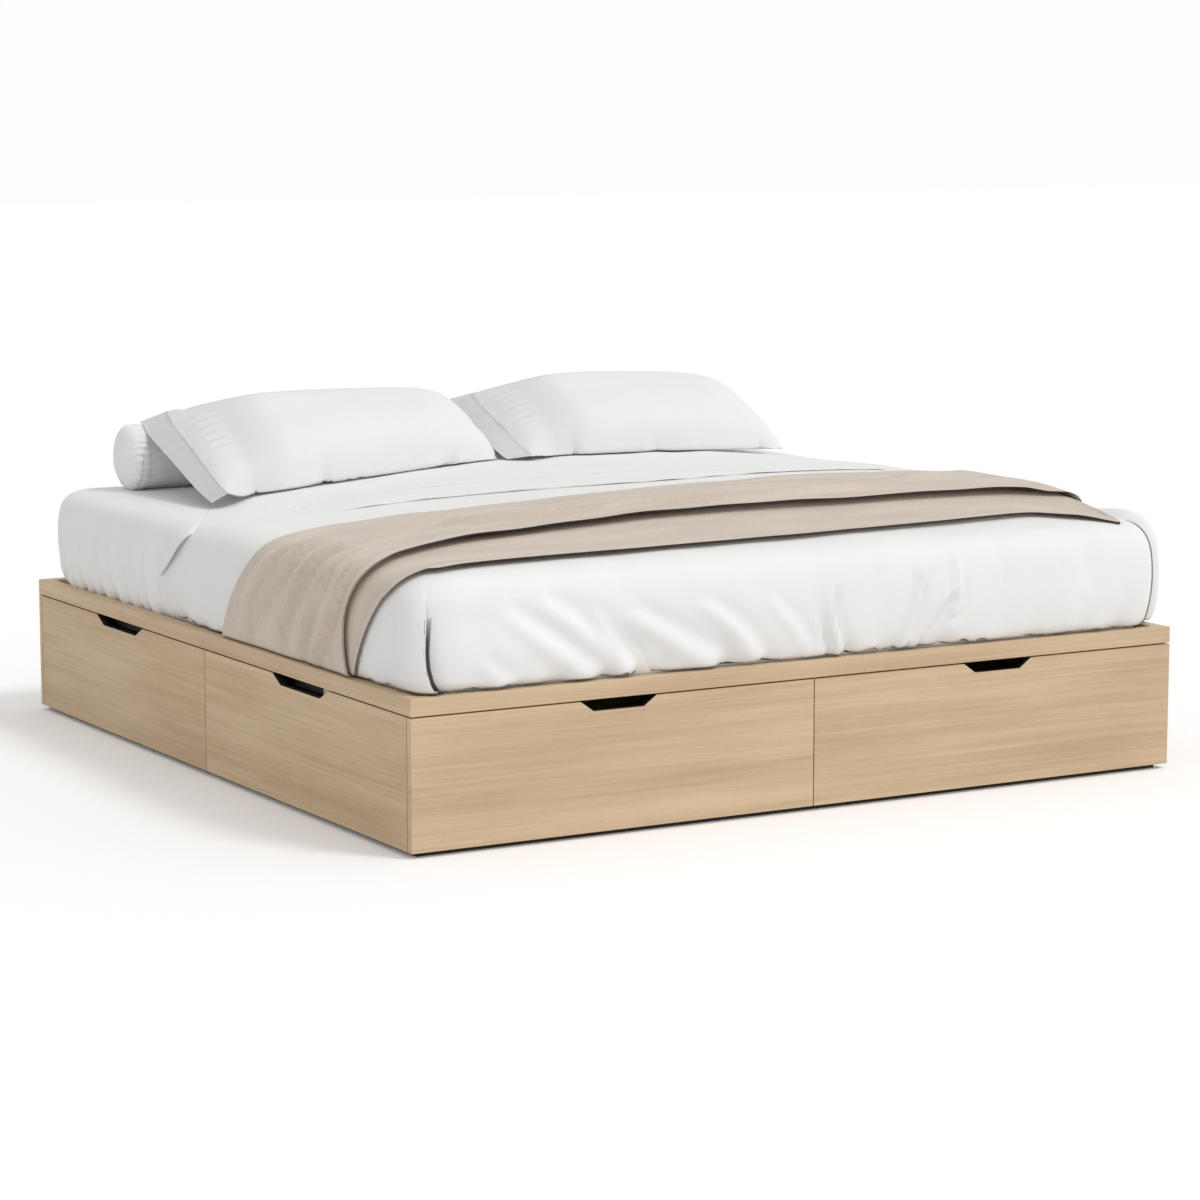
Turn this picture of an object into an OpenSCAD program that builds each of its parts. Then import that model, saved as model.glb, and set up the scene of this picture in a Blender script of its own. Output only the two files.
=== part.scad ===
// Storage bed: a low oak base with two drawers in each long side and two
// in the foot, a slatted deck, a mattress and its bedding.
// Millimetres. +X is to the right seen from the foot, +Y runs from the foot
// to the head, +Z is up. The origin is under the middle of the base.

/* [Mattress] */
// Width of the mattress
mattress_w = 1930; // [1700:10:2120]
// Length of the mattress
mattress_l = 2030; // [1850:10:2230]
// Height of the mattress at its edge
mattress_h = 258; // [200:1:320]
// Play of the mattress in its frame
mattress_play = 3; // [1:0.5:5]
// Rounding of the mattress in plan
mattress_corner = 60; // [40:5:90]
// Rounding of the upper edge
mattress_edge = 46; // [30:1:60]
// How far the sides swell out
mattress_belly = 15; // [5:1:18]
// How far the top swells up in the middle
mattress_crown = 5; // [2:1:12]

/* [Base] */
// Height of the dark plinth under the carcass
plinth_h = 12; // [8:1:40]
// Width of the plinth rails
plinth_rail_w = 60; // [40:1:90]
// Height of the carcass panels
panel_h = 288; // [270:1:340]
// Thickness of the carcass panels
panel_t = 18; // [15:1:22]
// Depth of the two drawer bays at the foot
foot_bay_d = 420; // [380:5:480]
// Leg of the steel angles that hold the frame boards
angle_leg = 40; // [30:1:50]
// Thickness of the steel angles
angle_t = 3; // [2:0.5:4]

/* [Rim] */
// Thickness of the frame boards round the mattress
rim_t = 38; // [30:1:50]
// Width of the frame boards
rim_w = 75; // [65:1:100]
// Width of the lip that stays round the mattress
lip_w = 32; // [24:1:40]
// Depth of the rebate that the mattress drops into
rebate_d = 20; // [12:1:24]
// Softened edge of the frame boards
rim_ease = 1.5; // [0.5:0.5:3]

/* [Slats] */
// Number of slats
slat_count = 13; // [9:1:17]
// Width of one slat
slat_w = 90; // [60:1:100]
// How much of a slat's end lies on its batten
slat_seat = 25; // [15:1:40]
// Height of the battens that carry the slats
ledger_h = 30; // [20:1:35]

/* [Drawer fronts] */
// Thickness of a drawer front
front_t = 18; // [16:1:22]
// Gap between neighbouring fronts
front_gap = 3; // [2:0.5:5]
// Air between the back of a front and the carcass
front_play = 4; // [2:0.5:6]
// Width of the grip at the top edge of a side front
side_grip_w = 285; // [200:5:320]
// Width of the grip at the top edge of a foot front
foot_grip_w = 187; // [140:1:240]
// Depth of the grips
grip_d = 22; // [18:1:30]
// How much each slanted end of a side grip takes
side_grip_slant = 42; // [25:1:50]
// How much each slanted end of a foot grip takes
foot_grip_slant = 31; // [20:1:40]
// Rounding in the lower corners of a grip
grip_r = 7; // [3:0.5:10]

/* [Drawer boxes] */
// Thickness of the box walls
wall_t = 15; // [12:1:18]
// Height of the box walls
box_h = 205; // [150:5:215]
// Height of the box above the plinth
box_lift = 14; // [8:1:25]
// Thickness of the drawer bottoms
bottom_t = 8; // [6:1:10]
// Height of the bottom above the lower edge of the walls
bottom_up = 10; // [8:1:16]
// Depth of the groove that holds the bottom
groove_d = 6; // [4:0.5:7]
// Play of the bottom in its groove
groove_play = 0.2; // [0.1:0.05:0.4]
// Thickness of the glue in a butt joint
glue_gap = 0.1; // [0.05:0.05:0.3]
// Depth of a side drawer box
side_box_d = 720; // [600:10:800]
// Clear depth behind a foot drawer box
foot_box_clear = 15; // [5:1:40]

/* [Slides] */
// Thickness of a telescopic slide
slide_t = 12.7; // [12:0.1:14]
// Height of a slide
slide_h = 45; // [38:1:56]
// Sheet thickness of the slide members
slide_plate = 1.2; // [1:0.1:1.5]
// Running gap between the slide members
slide_gap = 0.4; // [0.3:0.05:0.6]
// Height of the slide's middle above the lower edge of the box
slide_up = 70; // [60:1:110]
// How much shorter a slide is than its box
slide_short = 20; // [5:1:60]
// How far the slides stand back from the carcass edge
slide_set = 4; // [2:1:8]

/* [Bedding] */
// Air between a soft piece and what it lies on
soft_gap = 0.7; // [0.5:0.1:2]
// Thickness of the quilt at the sides
quilt_t = 10; // [6:1:14]
// Thickness that the quilt gains in the middle
quilt_crown = 30; // [10:1:40]
// Height of the folds in the hanging quilt
fold_h = 8; // [3:1:12]
// Distance of the quilt's end from the head end of the mattress
quilt_in = 260; // [250:5:400]
// Distance of the sheet's turned fold from the head end of the mattress
cuff_in = 455; // [430:5:520]
// Width of the sheet that is folded back
cuff_w = 640; // [500:5:700]
// Thickness of the folded-back sheet
cuff_t = 3; // [2:0.5:5]
// Distance of the throw from the foot end of the mattress
throw_in = 95; // [80:5:200]
// Width of the throw as it lies, folded lengthways
throw_w = 600; // [500:10:750]
// Width of the throw's upper layer
throw_fold_w = 400; // [200:10:450]
// Thickness of one layer of the throw
throw_t = 4; // [2:0.5:4]

/* [Pillows] */
// Width of a pillow over its flanges
pillow_w = 900; // [700:10:920]
// Height of a pillow from its lower to its upper flange
pillow_up = 335; // [300:5:400]
// Thickness of a pillow
pillow_t = 185; // [120:5:200]
// Width of the flat flange round a pillow
flange_w = 48; // [30:1:70]
// How far the upper edge of a pillow rises between its corners
pillow_arch = 26; // [5:1:40]
// Lean of the left pillow from lying flat
lean_left = 27; // [24:0.5:40]
// Lean of the right pillow from lying flat
lean_right = 30; // [25:0.5:40]
// Distance of the left pillow's middle from the middle of the bed
left_pillow_x = 345; // [320:5:360]
// Turn of the left pillow's lower edge
left_pillow_turn = 8.5; // [4:0.5:9]
// How far the left pillow's upper edge is moved along
left_pillow_shift = 47; // [30:1:50]
// Distance of the right pillow's middle from the middle of the bed
right_pillow_x = 540; // [530:5:550]
// Turn of the right pillow's lower edge
right_pillow_turn = 1; // [0:0.5:2]
// How far the right pillow's upper edge is moved along
right_pillow_shift = 60; // [50:1:70]
// How far a pillow settles, flat, on the bed
pillow_settle = 4; // [2:1:8]
// Diameter of the bolster
bolster_d = 165; // [140:1:180]
// Length of the bolster
bolster_l = 1700; // [1400:10:1800]
// Distance of the bolster's axis from the head end of the mattress
bolster_in = 165; // [140:5:180]

/* [Hidden] */

// The base is as large as the mattress with its play and the lip round it.
base_w = mattress_w + 2 * (mattress_play + lip_w);
base_l = mattress_l + 2 * (mattress_play + lip_w);
hw = base_w / 2;
hl = base_l / 2;
rim_z = plinth_h + panel_h;
rim_top = rim_z + rim_t;
deck_z = rim_top - rebate_d;
slat_t = deck_z - rim_z;
slat_half = hw - rim_w;

// The carcass stands back behind the drawer fronts.
face_x = hw - front_t - front_play;
face_y = hl - front_t - front_play;
head_in = hl - panel_t;
cross_y = -face_y + foot_bay_d;
cross_in = cross_y + panel_t;
half_t = panel_t / 2;

front_h = panel_h - front_gap;
box_z = plinth_h + box_lift;
slide_z = box_z + slide_up;

// Each bay is [start across the bay, end across the bay].
near_bay = [cross_in, -half_t];
far_bay = [half_t, head_in];
foot_bay = [half_t, face_x - panel_t];
foot_box_d = foot_bay_d - foot_box_clear;

oak = [0.80, 0.69, 0.55];
oak_inside = [0.84, 0.76, 0.64];
black = [0.05, 0.05, 0.05];
steel = [0.66, 0.67, 0.68];
linen = [0.93, 0.93, 0.93];
taupe = [0.72, 0.65, 0.57];

// Frame board: an eased board with a rebate along its inner edge.
// u runs inwards from the outer face and v upwards from the lower face.
module rim_section() {
  e = rim_ease;
  polygon([
    [0, e], [e, 0], [rim_w, 0], [rim_w, rim_t - rebate_d],
    [lip_w, rim_t - rebate_d], [lip_w, rim_t - e], [lip_w - e, rim_t],
    [e, rim_t], [0, rim_t - e]
  ]);
}

// A frame board from one mitred end to the other, with its outer face on
// y = -reach and its middle on x = 0.
module rim_board(len, reach) {
  far = len / 2;
  intersection() {
    translate([-far, -reach, rim_z])
      rotate([90, 0, 90])
        linear_extrude(len)
          rim_section();
    linear_extrude(rim_top + 1)
      polygon([
        [-far, -reach], [far, -reach],
        [far - rim_w, rim_w - reach], [rim_w - far, rim_w - reach]
      ]);
  }
}

module rim_foot() {
  color(oak) rim_board(base_w, hl);
}

module rim_head() {
  color(oak) rotate(180) rim_board(base_w, hl);
}

module rim_left() {
  color(oak) rotate(-90) rim_board(base_l, hw);
}

module rim_right() {
  color(oak) rotate(90) rim_board(base_l, hw);
}

// An upright or flat board between two corners.
module board(low, high) {
  translate(low) cube(high - low);
}

// Flat rails under the carcass: one across each end and three lengthways.
plinth_head = hl - front_play;

module plinth_rails() {
  start = plinth_rail_w - face_y + glue_gap;
  end = plinth_head - plinth_rail_w - glue_gap;
  color(black) {
    board([-face_x, -face_y, 0], [face_x, plinth_rail_w - face_y, plinth_h]);
    board([-face_x, plinth_head - plinth_rail_w, 0], [face_x, plinth_head, plinth_h]);
    for (low = [-face_x, -plinth_rail_w / 2, face_x - plinth_rail_w])
      board([low, start, 0], [low + plinth_rail_w, end, plinth_h]);
  }
}

module head_panel() {
  color(oak) board([-hw, head_in, plinth_h], [hw, hl, rim_z]);
}

module spine_panel() {
  color(oak_inside) board([-half_t, cross_in, plinth_h], [half_t, head_in, rim_z]);
}

module cross_panel() {
  color(oak_inside) board([-face_x, cross_y, plinth_h], [face_x, cross_in, rim_z]);
}

module foot_divider() {
  color(oak_inside) board([-half_t, -face_y, plinth_h], [half_t, cross_y, rim_z]);
}

module side_divider_shape() {
  board([-face_x, -half_t, plinth_h], [-half_t, half_t, rim_z]);
}

module side_divider_left() {
  color(oak_inside) side_divider_shape();
}

module side_divider_right() {
  color(oak_inside) mirror([1, 0, 0]) side_divider_shape();
}

// Closes a foot bay towards the side, behind the end of the side front.
module blind_panel_shape() {
  board([-face_x, -face_y, plinth_h], [panel_t - face_x, cross_y, rim_z]);
}

module blind_panel_left() {
  color(oak_inside) blind_panel_shape();
}

module blind_panel_right() {
  color(oak_inside) mirror([1, 0, 0]) blind_panel_shape();
}

// Battens under the inner edge of the frame boards carry the slat ends.
ledger_out = face_x - panel_t;
ledger_in = slat_half - slat_seat;

module slat_ledgers() {
  spans = [[2 * angle_leg - face_y, cross_y], near_bay, far_bay];
  color(oak_inside)
    for (side = [-1, 1], span = spans)
      board([side < 0 ? -ledger_out : ledger_in, span[0], rim_z - ledger_h],
            [side < 0 ? -ledger_in : ledger_out, span[1], rim_z]);
}

// Slats from batten to batten, over the middle panels.
slat_run = base_l - 2 * rim_w - slat_w;

module slats() {
  color(oak_inside)
    for (i = [0 : slat_count - 1])
      translate([-slat_half, rim_w - hl + i * slat_run / (slat_count - 1), rim_z])
        cube([2 * slat_half, slat_w, slat_t]);
}

// Steel angles between the uprights and the frame boards.
module angle() {
  rotate([90, 0, 90])
    linear_extrude(angle_leg, center = true)
      polygon([
        [0, 0], [angle_leg, 0], [angle_leg, -angle_t],
        [angle_t, -angle_t], [angle_t, -angle_leg], [0, -angle_leg]
      ]);
}

module corner_angles() {
  color(steel)
    for (side = [-1, 1]) {
      // blind panel to the side board
      translate([side * (face_x - panel_t), angle_leg - face_y, rim_z])
        rotate(side * 90) angle();
      // foot divider to the foot board
      translate([side * half_t, angle_leg - face_y, rim_z])
        rotate(side * -90) angle();
      // head panel to the head board
      for (along = [0.25, 0.75])
        translate([side * along * hw, head_in, rim_z]) rotate(180) angle();
    }
}

// Telescopic slide. Sections are drawn with u from the carcass wall towards
// the box and v upwards. Each member is a channel that runs in the next.
module channel(u0, u1, half, opens_up) {
  p = slide_plate;
  web = opens_up ? [u0, u0 + p] : [u1 - p, u1];
  translate([web[0], -half]) square([p, 2 * half]);
  for (v = [-half, half - p])
    translate([u0, v]) square([u1 - u0, p]);
}

rail_half = slide_h / 2;
mid_half = rail_half - slide_plate - slide_gap;
runner_half = mid_half - slide_plate - slide_gap;

module rail_section() {
  channel(0, slide_t * 0.75, rail_half, true);
}

module mid_section() {
  channel(slide_plate + 1, slide_t * 0.87, mid_half, true);
}

module runner_section() {
  channel(slide_t * 0.35, slide_t, runner_half, false);
}

// Places a section on both walls of a bay and runs it along the bay.
// The bay opens towards -Y, at y = 0, and runs from x = span[0] to span[1].
module pair(span, len, z) {
  for (end = [0, 1])
    translate([span[end], 0, z])
      mirror([end, 0, 0])
        translate([0, slide_set + len, 0])
          rotate([90, 0, 0])
            linear_extrude(len)
              children();
}

// Drawer shapes are drawn opening towards -Y with the carcass edge on y = 0.
// bay is the clear space across, face the reach of the front across.
module box_walls(bay, depth) {
  low = bay[0] + slide_t;
  high = bay[1] - slide_t;
  inner_low = low + wall_t + glue_gap;
  inner_high = high - wall_t - glue_gap;
  difference() {
    translate([0, -front_play, box_z])
      for (wall = [
        [[low, 0], [low + wall_t, depth]],
        [[high - wall_t, 0], [high, depth]],
        [[inner_low, 0], [inner_high, wall_t]],
        [[inner_low, depth - wall_t], [inner_high, depth]]
      ])
        board([wall[0][0], wall[0][1], 0], [wall[1][0], wall[1][1], box_h]);
    drawer_bottom(bay, depth, groove_play);
  }
}

module drawer_bottom(bay, depth, play) {
  edge = wall_t - groove_d - play;
  low = bay[0] + slide_t + edge;
  high = bay[1] - slide_t - edge;
  translate([low, edge - front_play, box_z + bottom_up - play])
    cube([high - low, depth - 2 * edge, bottom_t + 2 * play]);
}

// A front with its grip cut into the upper edge, seen along +Y.
module front_board(face, grip_w, slant) {
  mid = (face[0] + face[1]) / 2;
  low_w = grip_w - 2 * slant;
  translate([0, -front_play, plinth_h])
    rotate([90, 0, 0])
      linear_extrude(front_t)
        difference() {
          translate([face[0], 0]) square([face[1] - face[0], front_h]);
          // rounded lower corners, then the two slants up to the edge
          grip_outline = concat(
            [[mid - grip_w / 2, front_h], [mid - grip_w / 2, front_h + 1]],
            [[mid + grip_w / 2, front_h + 1], [mid + grip_w / 2, front_h]],
            grip_corner(mid + low_w / 2, atan2(grip_d, slant), 1),
            grip_corner(mid - low_w / 2, atan2(grip_d, slant), -1)
          );
          polygon(grip_outline);
        }
}

// Points of the rounded corner between the grip's floor and its slant.
// tilt is the slant's angle above the floor.
function grip_corner(x, tilt, side) =
  let (
    floor_z = front_h - grip_d,
    tangent = grip_r * tan(tilt / 2),
    steps = 5,
    arc = [for (i = [0 : steps])
      let (a = -90 + tilt * i / steps)
        [x - side * tangent + side * grip_r * cos(a), floor_z + grip_r + grip_r * sin(a)]]
  )
  side > 0 ? [for (i = [steps : -1 : 0]) arc[i]] : arc;

// Reach of each front across its bay, with a gap to the next one.
near_face = [front_t + front_gap - hl, -front_gap / 2];
far_face = [front_gap / 2, head_in - front_gap];
foot_face = [front_gap / 2, hw];

// kind is "near", "far" or "foot"; piece names the sub-part.
function bay_of(kind) = kind == "near" ? near_bay : kind == "far" ? far_bay : foot_bay;
function face_of(kind) = kind == "near" ? near_face : kind == "far" ? far_face : foot_face;

module drawer_piece(kind, piece) {
  foot = kind == "foot";
  bay = bay_of(kind);
  depth = foot ? foot_box_d : side_box_d;
  len = depth - slide_short;
  if (piece == "front")
    color(oak)
      front_board(face_of(kind), foot ? foot_grip_w : side_grip_w,
                  foot ? foot_grip_slant : side_grip_slant);
  if (piece == "box")
    color(oak_inside) box_walls(bay, depth);
  if (piece == "bottom")
    color(oak_inside) drawer_bottom(bay, depth, 0);
  if (piece == "rails")
    color(steel) pair(bay, len, slide_z) rail_section();
  if (piece == "mid")
    color(steel) pair(bay, len, slide_z) mid_section();
  if (piece == "runners")
    color(steel) pair(bay, len, slide_z) runner_section();
}

// The side drawers are drawn with the bay along X, so X becomes Y.
module left_piece(kind, piece) {
  multmatrix([[0, 1, 0, -face_x], [1, 0, 0, 0], [0, 0, 1, 0]])
    drawer_piece(kind, piece);
}

module right_piece(kind, piece) {
  mirror([1, 0, 0]) left_piece(kind, piece);
}

module foot_right_piece(piece) {
  translate([0, -face_y, 0]) drawer_piece("foot", piece);
}

module foot_left_piece(piece) {
  mirror([1, 0, 0]) foot_right_piece(piece);
}

module slide_rails_left() {
  for (kind = ["near", "far"]) left_piece(kind, "rails");
}

module slide_rails_right() {
  for (kind = ["near", "far"]) right_piece(kind, "rails");
}

module slide_rails_foot() {
  foot_right_piece("rails");
  foot_left_piece("rails");
}

// Soft pieces are closed skins through rings of points.

// Joins equal rings into one closed skin with a flat cap at each end.
module skin(rings) {
  n = len(rings[0]);
  m = len(rings);
  points = [for (ring = rings) each ring];
  sides = [for (j = [0 : m - 2], i = [0 : n - 1])
    let (a = j * n + i, b = j * n + (i + 1) % n)
      each [[a, b, b + n], [a, b + n, a + n]]];
  caps = [[for (i = [n - 1 : -1 : 0]) i], [for (i = [0 : n - 1]) (m - 1) * n + i]];
  polyhedron(points, concat(sides, caps), convexity = 8);
}

// Mattress outline in plan, grown by out, at height z.
mhw = mattress_w / 2;
mhl = mattress_l / 2;
corner_steps = 6;

function plan_corner(sx, sy, start, out) =
  let (r = max(mattress_corner + out, 4), cx = mhw + out - r, cy = mhl + out - r)
    [for (i = [0 : corner_steps])
      let (a = start + 90 * i / corner_steps) [sx * cx + r * cos(a), sy * cy + r * sin(a)]];

function plan_ring(out, z) =
  [for (p = concat(plan_corner(1, 1, 0, out), plan_corner(-1, 1, 90, out),
                   plan_corner(-1, -1, 180, out), plan_corner(1, -1, 270, out)))
    [p[0], p[1], z]];

mattress_z = deck_z + soft_gap / 2;
mattress_top = mattress_z + mattress_h;
edge_z = mattress_top - mattress_edge;

// Swell of the mattress side at a share k of its height.
function belly(k) = mattress_belly * sin(180 * k);
edge_out = belly(1 - mattress_edge / mattress_h);

// Distances inwards at which the top is described, and its rise there.
top_in = [100, 260, 600];
function rise(inset, crown) =
  lookup(inset, concat([[0, 0]],
    [for (d = top_in) [d, crown * sin(90 * d / top_in[len(top_in) - 1])]]));

// The upper edge as an arc, grown by t, then the top; [out, z] pairs.
edge_steps = 5;
function over_edge(t, crown) = concat(
  [for (i = [0 : edge_steps])
    let (a = 90 * i / edge_steps, r = mattress_edge + t)
      [edge_out - mattress_edge + r * cos(a), edge_z + r * sin(a)]],
  [for (inset = top_in) [-inset, mattress_top + t + rise(inset, crown)]]);

module mattress() {
  low = [[-22, 0], [-8, 8], [0, 22]];
  mids = [0.25, 0.45, 0.62];
  profile = concat(
    [for (p = low) [p[0] + belly(0.08), mattress_z + p[1]]],
    [for (k = mids) [belly(k), mattress_z + k * mattress_h]],
    over_edge(0, mattress_crown));
  color(linen) skin([for (p = profile) plan_ring(p[0], p[1])]);
}

// Quilt: a wrap that runs down one side, round the foot and up the other
// side. Stations along the wrap are [x, y] at a given growth.
side_steps = 5;
foot_steps = 23;

// Where the quilt's end lies on each row, from the hem up and over.
quilt_head = mhl - quilt_in;
hem_z = rim_top + soft_gap;
function quilt_end(k, rows) =
  quilt_head - lookup(k, [[0, 540], [1, 455], [2, 465], [4, 580], [7, 565], [9, 415],
                          [10, 195], [rows, 0]]);

function wrap(out, head_y) =
  let (
    fl = plan_corner(-1, -1, 180, out),
    fr = plan_corner(1, -1, 270, out),
    left = fl[0],
    right = fr[corner_steps]
  )
  concat(
    [for (i = [0 : side_steps - 1]) [left[0], head_y + (left[1] - head_y) * i / side_steps]],
    fl,
    [for (i = [1 : foot_steps - 1])
      fl[corner_steps] + (fr[0] - fl[corner_steps]) * i / foot_steps],
    fr,
    [for (i = [side_steps - 1 : -1 : 0])
      [right[0], head_y + (right[1] - head_y) * i / side_steps]]);

// Folds that hang from the foot edge. Each is [place at the hem, place at
// the edge, width, share of the full height]; a place is a share of the
// mattress's half width.
foot_folds = [
  [-0.93, -0.89, 34, 1.0], [-0.72, -0.82, 60, 0.6], [-0.58, -0.66, 60, 0.8],
  [-0.40, -0.52, 70, 0.7], [-0.12, -0.31, 80, 0.5], [0.15, -0.06, 80, 0.5],
  [0.43, 0.26, 80, 0.6], [0.62, 0.50, 60, 0.8], [0.79, 0.72, 60, 0.6], [0.93, 0.90, 40, 0.8]
];

function fold_at(x, share) =
  fold_h * min(1, max([for (f = foot_folds)
    let (place = mhw * (f[0] + (f[1] - f[0]) * share), d = (x - place) / f[2])
      f[3] * exp(-d * d)]));

// Lower rows hang straight; k is the row, 0 at the hem.
hang_rows = 4;
function hang_z(k) = hem_z + (edge_z - 8 - hem_z) * k / (hang_rows - 1);

function quilt_row(k, outside) =
  let (
    t = soft_gap + (outside ? quilt_t : 0),
    crown = mattress_crown + (outside ? quilt_crown : 0),
    edge = over_edge(t, crown),
    rows = hang_rows + len(edge) - 1,
    p = k < hang_rows ? [mattress_belly + t, hang_z(k)] : edge[k - hang_rows],
    share = min(k / hang_rows, 1),
    fade = k < hang_rows ? 1 : k == hang_rows ? 0.7 : 0,
    base = wrap(p[0], quilt_end(k, rows))
  )
  [for (q = base)
    let (
      at_foot = q[1] < mattress_corner - mhl ? 1 : 0,
      f = outside ? at_foot * fade * fold_at(q[0], share) : 0
    )
    [q[0], q[1] - f, p[1]]];

module quilt() {
  rows = hang_rows + len(over_edge(0, 0));
  inner = [for (k = [rows - 1 : -1 : 0]) quilt_row(k, false)];
  outer = [for (k = [0 : rows - 1]) quilt_row(k, true)];
  rings = concat(inner, outer);
  n = len(rings[0]);
  m = len(rings);
  under_mid = [0, 0, rings[0][0][2]];
  over_mid = [0, 0, rings[m - 1][0][2]];
  points = concat([for (ring = rings) each ring], [under_mid, over_mid]);
  sides = [for (j = [0 : m - 2], i = [0 : n - 2])
    let (a = j * n + i)
      each [[a, a + n + 1, a + 1], [a, a + n, a + n + 1]]];
  // flat middles of the underside and the top
  caps = [for (i = [0 : n - 1])
    let (next = (i + 1) % n, top = (m - 1) * n)
      each [[m * n, i, next], [m * n + 1, top + next, top + i]]];
  // the head edge, which runs from the left hem over the middle to the right hem
  half = m / 2;
  ends = concat(
    [for (j = [0 : half - 2])
      let (a = j * n, b = (m - 1 - j) * n)
        each [[a, b, b - n], [a, b - n, a + n]]],
    [for (j = [0 : half - 2])
      let (a = j * n + n - 1, b = (m - 1 - j) * n + n - 1)
        each [[a, b - n, b], [a, a + n, b - n]]],
    [[0, n - 1, m * n - 1], [0, m * n - 1, (m - 1) * n]]);
  color(linen) polyhedron(points, concat(sides, caps, ends), convexity = 10);
}

// A band of cloth lies across the bed, over the quilt. Its stations follow
// the quilt's section from one hem to the other: [x, z, out x, out z].
function half_section(t) =
  let (
    edge = over_edge(t, mattress_crown + quilt_crown),
    hang = [for (k = [0 : hang_rows - 1]) [mattress_belly + t, hang_z(k)]]
  )
  [for (p = concat(hang, edge)) [mhw + p[0], p[1]]];

// Section of one band at growths t0 and t1, both running left to right.
function full_section(t) =
  let (half = half_section(t), n = len(half))
    concat([for (p = half) [-p[0], p[1]]], [for (i = [n - 1 : -1 : 0]) half[i]]);

// loop goes round the band's own section: each entry is a growth and then y
// at the left hem, low on the left edge, high on it, on top and at the right.
// from is the first station used at each end.
module band(loop, from) {
  sections = [for (p = loop) full_section(p[0])];
  n = len(sections[0]);
  rings = [for (i = [from : n - 1 - from])
    [for (k = [0 : len(loop) - 1])
      let (s = sections[k][i])
        [s[0], band_y(loop[k], i, n), s[1]]]];
  skin(rings);
}

// Edges of a band sweep towards the foot where they pass the bed's edge.
function band_y(p, i, n) =
  lookup(i, [[0, p[1]], [3, p[2]], [hang_rows + 3, p[3]], [hang_rows + edge_steps + 3, p[4]],
             [n - 8, p[4]], [n - 1, p[5]]]);

inner_t = quilt_t + 2 * soft_gap;

// Shifts of the throw's edges at the hem, low on the side and high on it,
// against their place on top of the bed.
throw_head_sweep = [215, 85, 10];
throw_mid_sweep = [-20, -55, -100];
throw_foot_sweep = [150, 20, -40];
no_sweep = [0, 0, 0];
// How far a fold or an edge stands out past the line that it follows.
throw_fold_r = 8;
throw_edge_r = 2;
cuff_fold_r = 6;

function edge_ys(y, sweep) = [y + sweep[0], y + sweep[1], y + sweep[2], y, y];

module throw() {
  foot_y = throw_in - mhl;
  head_y = foot_y + throw_w;
  head = edge_ys(head_y, throw_head_sweep);
  mid = edge_ys(head_y - throw_fold_w, throw_mid_sweep);
  foot = edge_ys(foot_y, throw_foot_sweep);
  one = inner_t + throw_t;
  two = one + throw_t;
  color(taupe)
    band([
      [inner_t, each foot],
      [inner_t, each head],
      [one, each head + edge_ys(throw_fold_r, no_sweep)],
      [two, each head],
      [two, each mid],
      [one, each mid - edge_ys(throw_edge_r, no_sweep)],
      [one, each foot]
    ], 0);
}

module sheet_cuff() {
  fold = edge_ys(mhl - cuff_in, no_sweep);
  hem = fold - edge_ys(cuff_w, no_sweep);
  color(linen)
    band([
      [inner_t, each hem],
      [inner_t, each fold],
      [inner_t + cuff_t / 2, each fold + edge_ys(cuff_fold_r, no_sweep)],
      [inner_t + cuff_t, each fold],
      [inner_t + cuff_t, each hem]
    ], hang_rows + edge_steps + 1);
}

// Pillow: a crowned body with a flat flange, on a patch between four corners
// [lower left, lower right, upper left, upper right].
function patch(c, a, b) =
  ((c[0] * (1 - a) + c[1] * (1 + a)) * (1 - b) + (c[2] * (1 - a) + c[3] * (1 + a)) * (1 + b)) / 4
  + [0, 0, pillow_arch * (1 - a * a) * (1 + b) / 2];

// Points evenly spaced round a square, from its lower right corner, and the
// same points on a square with rounded corners; a larger n is squarer.
pillow_points = 36;

function square_point(i) =
  let (n = pillow_points / 4, side = floor(i / n), k = 2 * (i % n) / n - 1)
  side == 0 ? [1, k] : side == 1 ? [-k, 1] : side == 2 ? [-1, -k] : [k, -1];

function round_square(i, n) =
  let (q = square_point(i))
  q * pow(pow(abs(q[0]), n) + pow(abs(q[1]), n), -1 / n);

body_squareness = 6;
flange_squareness = 10;
edge_pull = 0.04;
pillow_rings = [0.2, 0.45, 0.68, 0.86, 0.97];
flange_t = 3;

// Half the thickness of the pillow's body at a share r of the way out.
function dome(r) = pillow_t / 2 * pow(1 - pow(r, 2.4), 0.75);

// One ring; what would sink into the bed is kept flat on it.
function pillow_ring(c, normal, r, squareness, size, lift) =
  [for (i = [0 : pillow_points - 1])
    let (
      q = round_square(i, squareness),
      pull = 1 - edge_pull * pow(sin(720 * i / pillow_points), 2) * r,
      p = patch(c, q[0] * r * size[0] * pull, q[1] * r * size[1] * pull) + lift * normal
    )
    [p[0], p[1], max(p[2], bed_top(p[0]))]];

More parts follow.
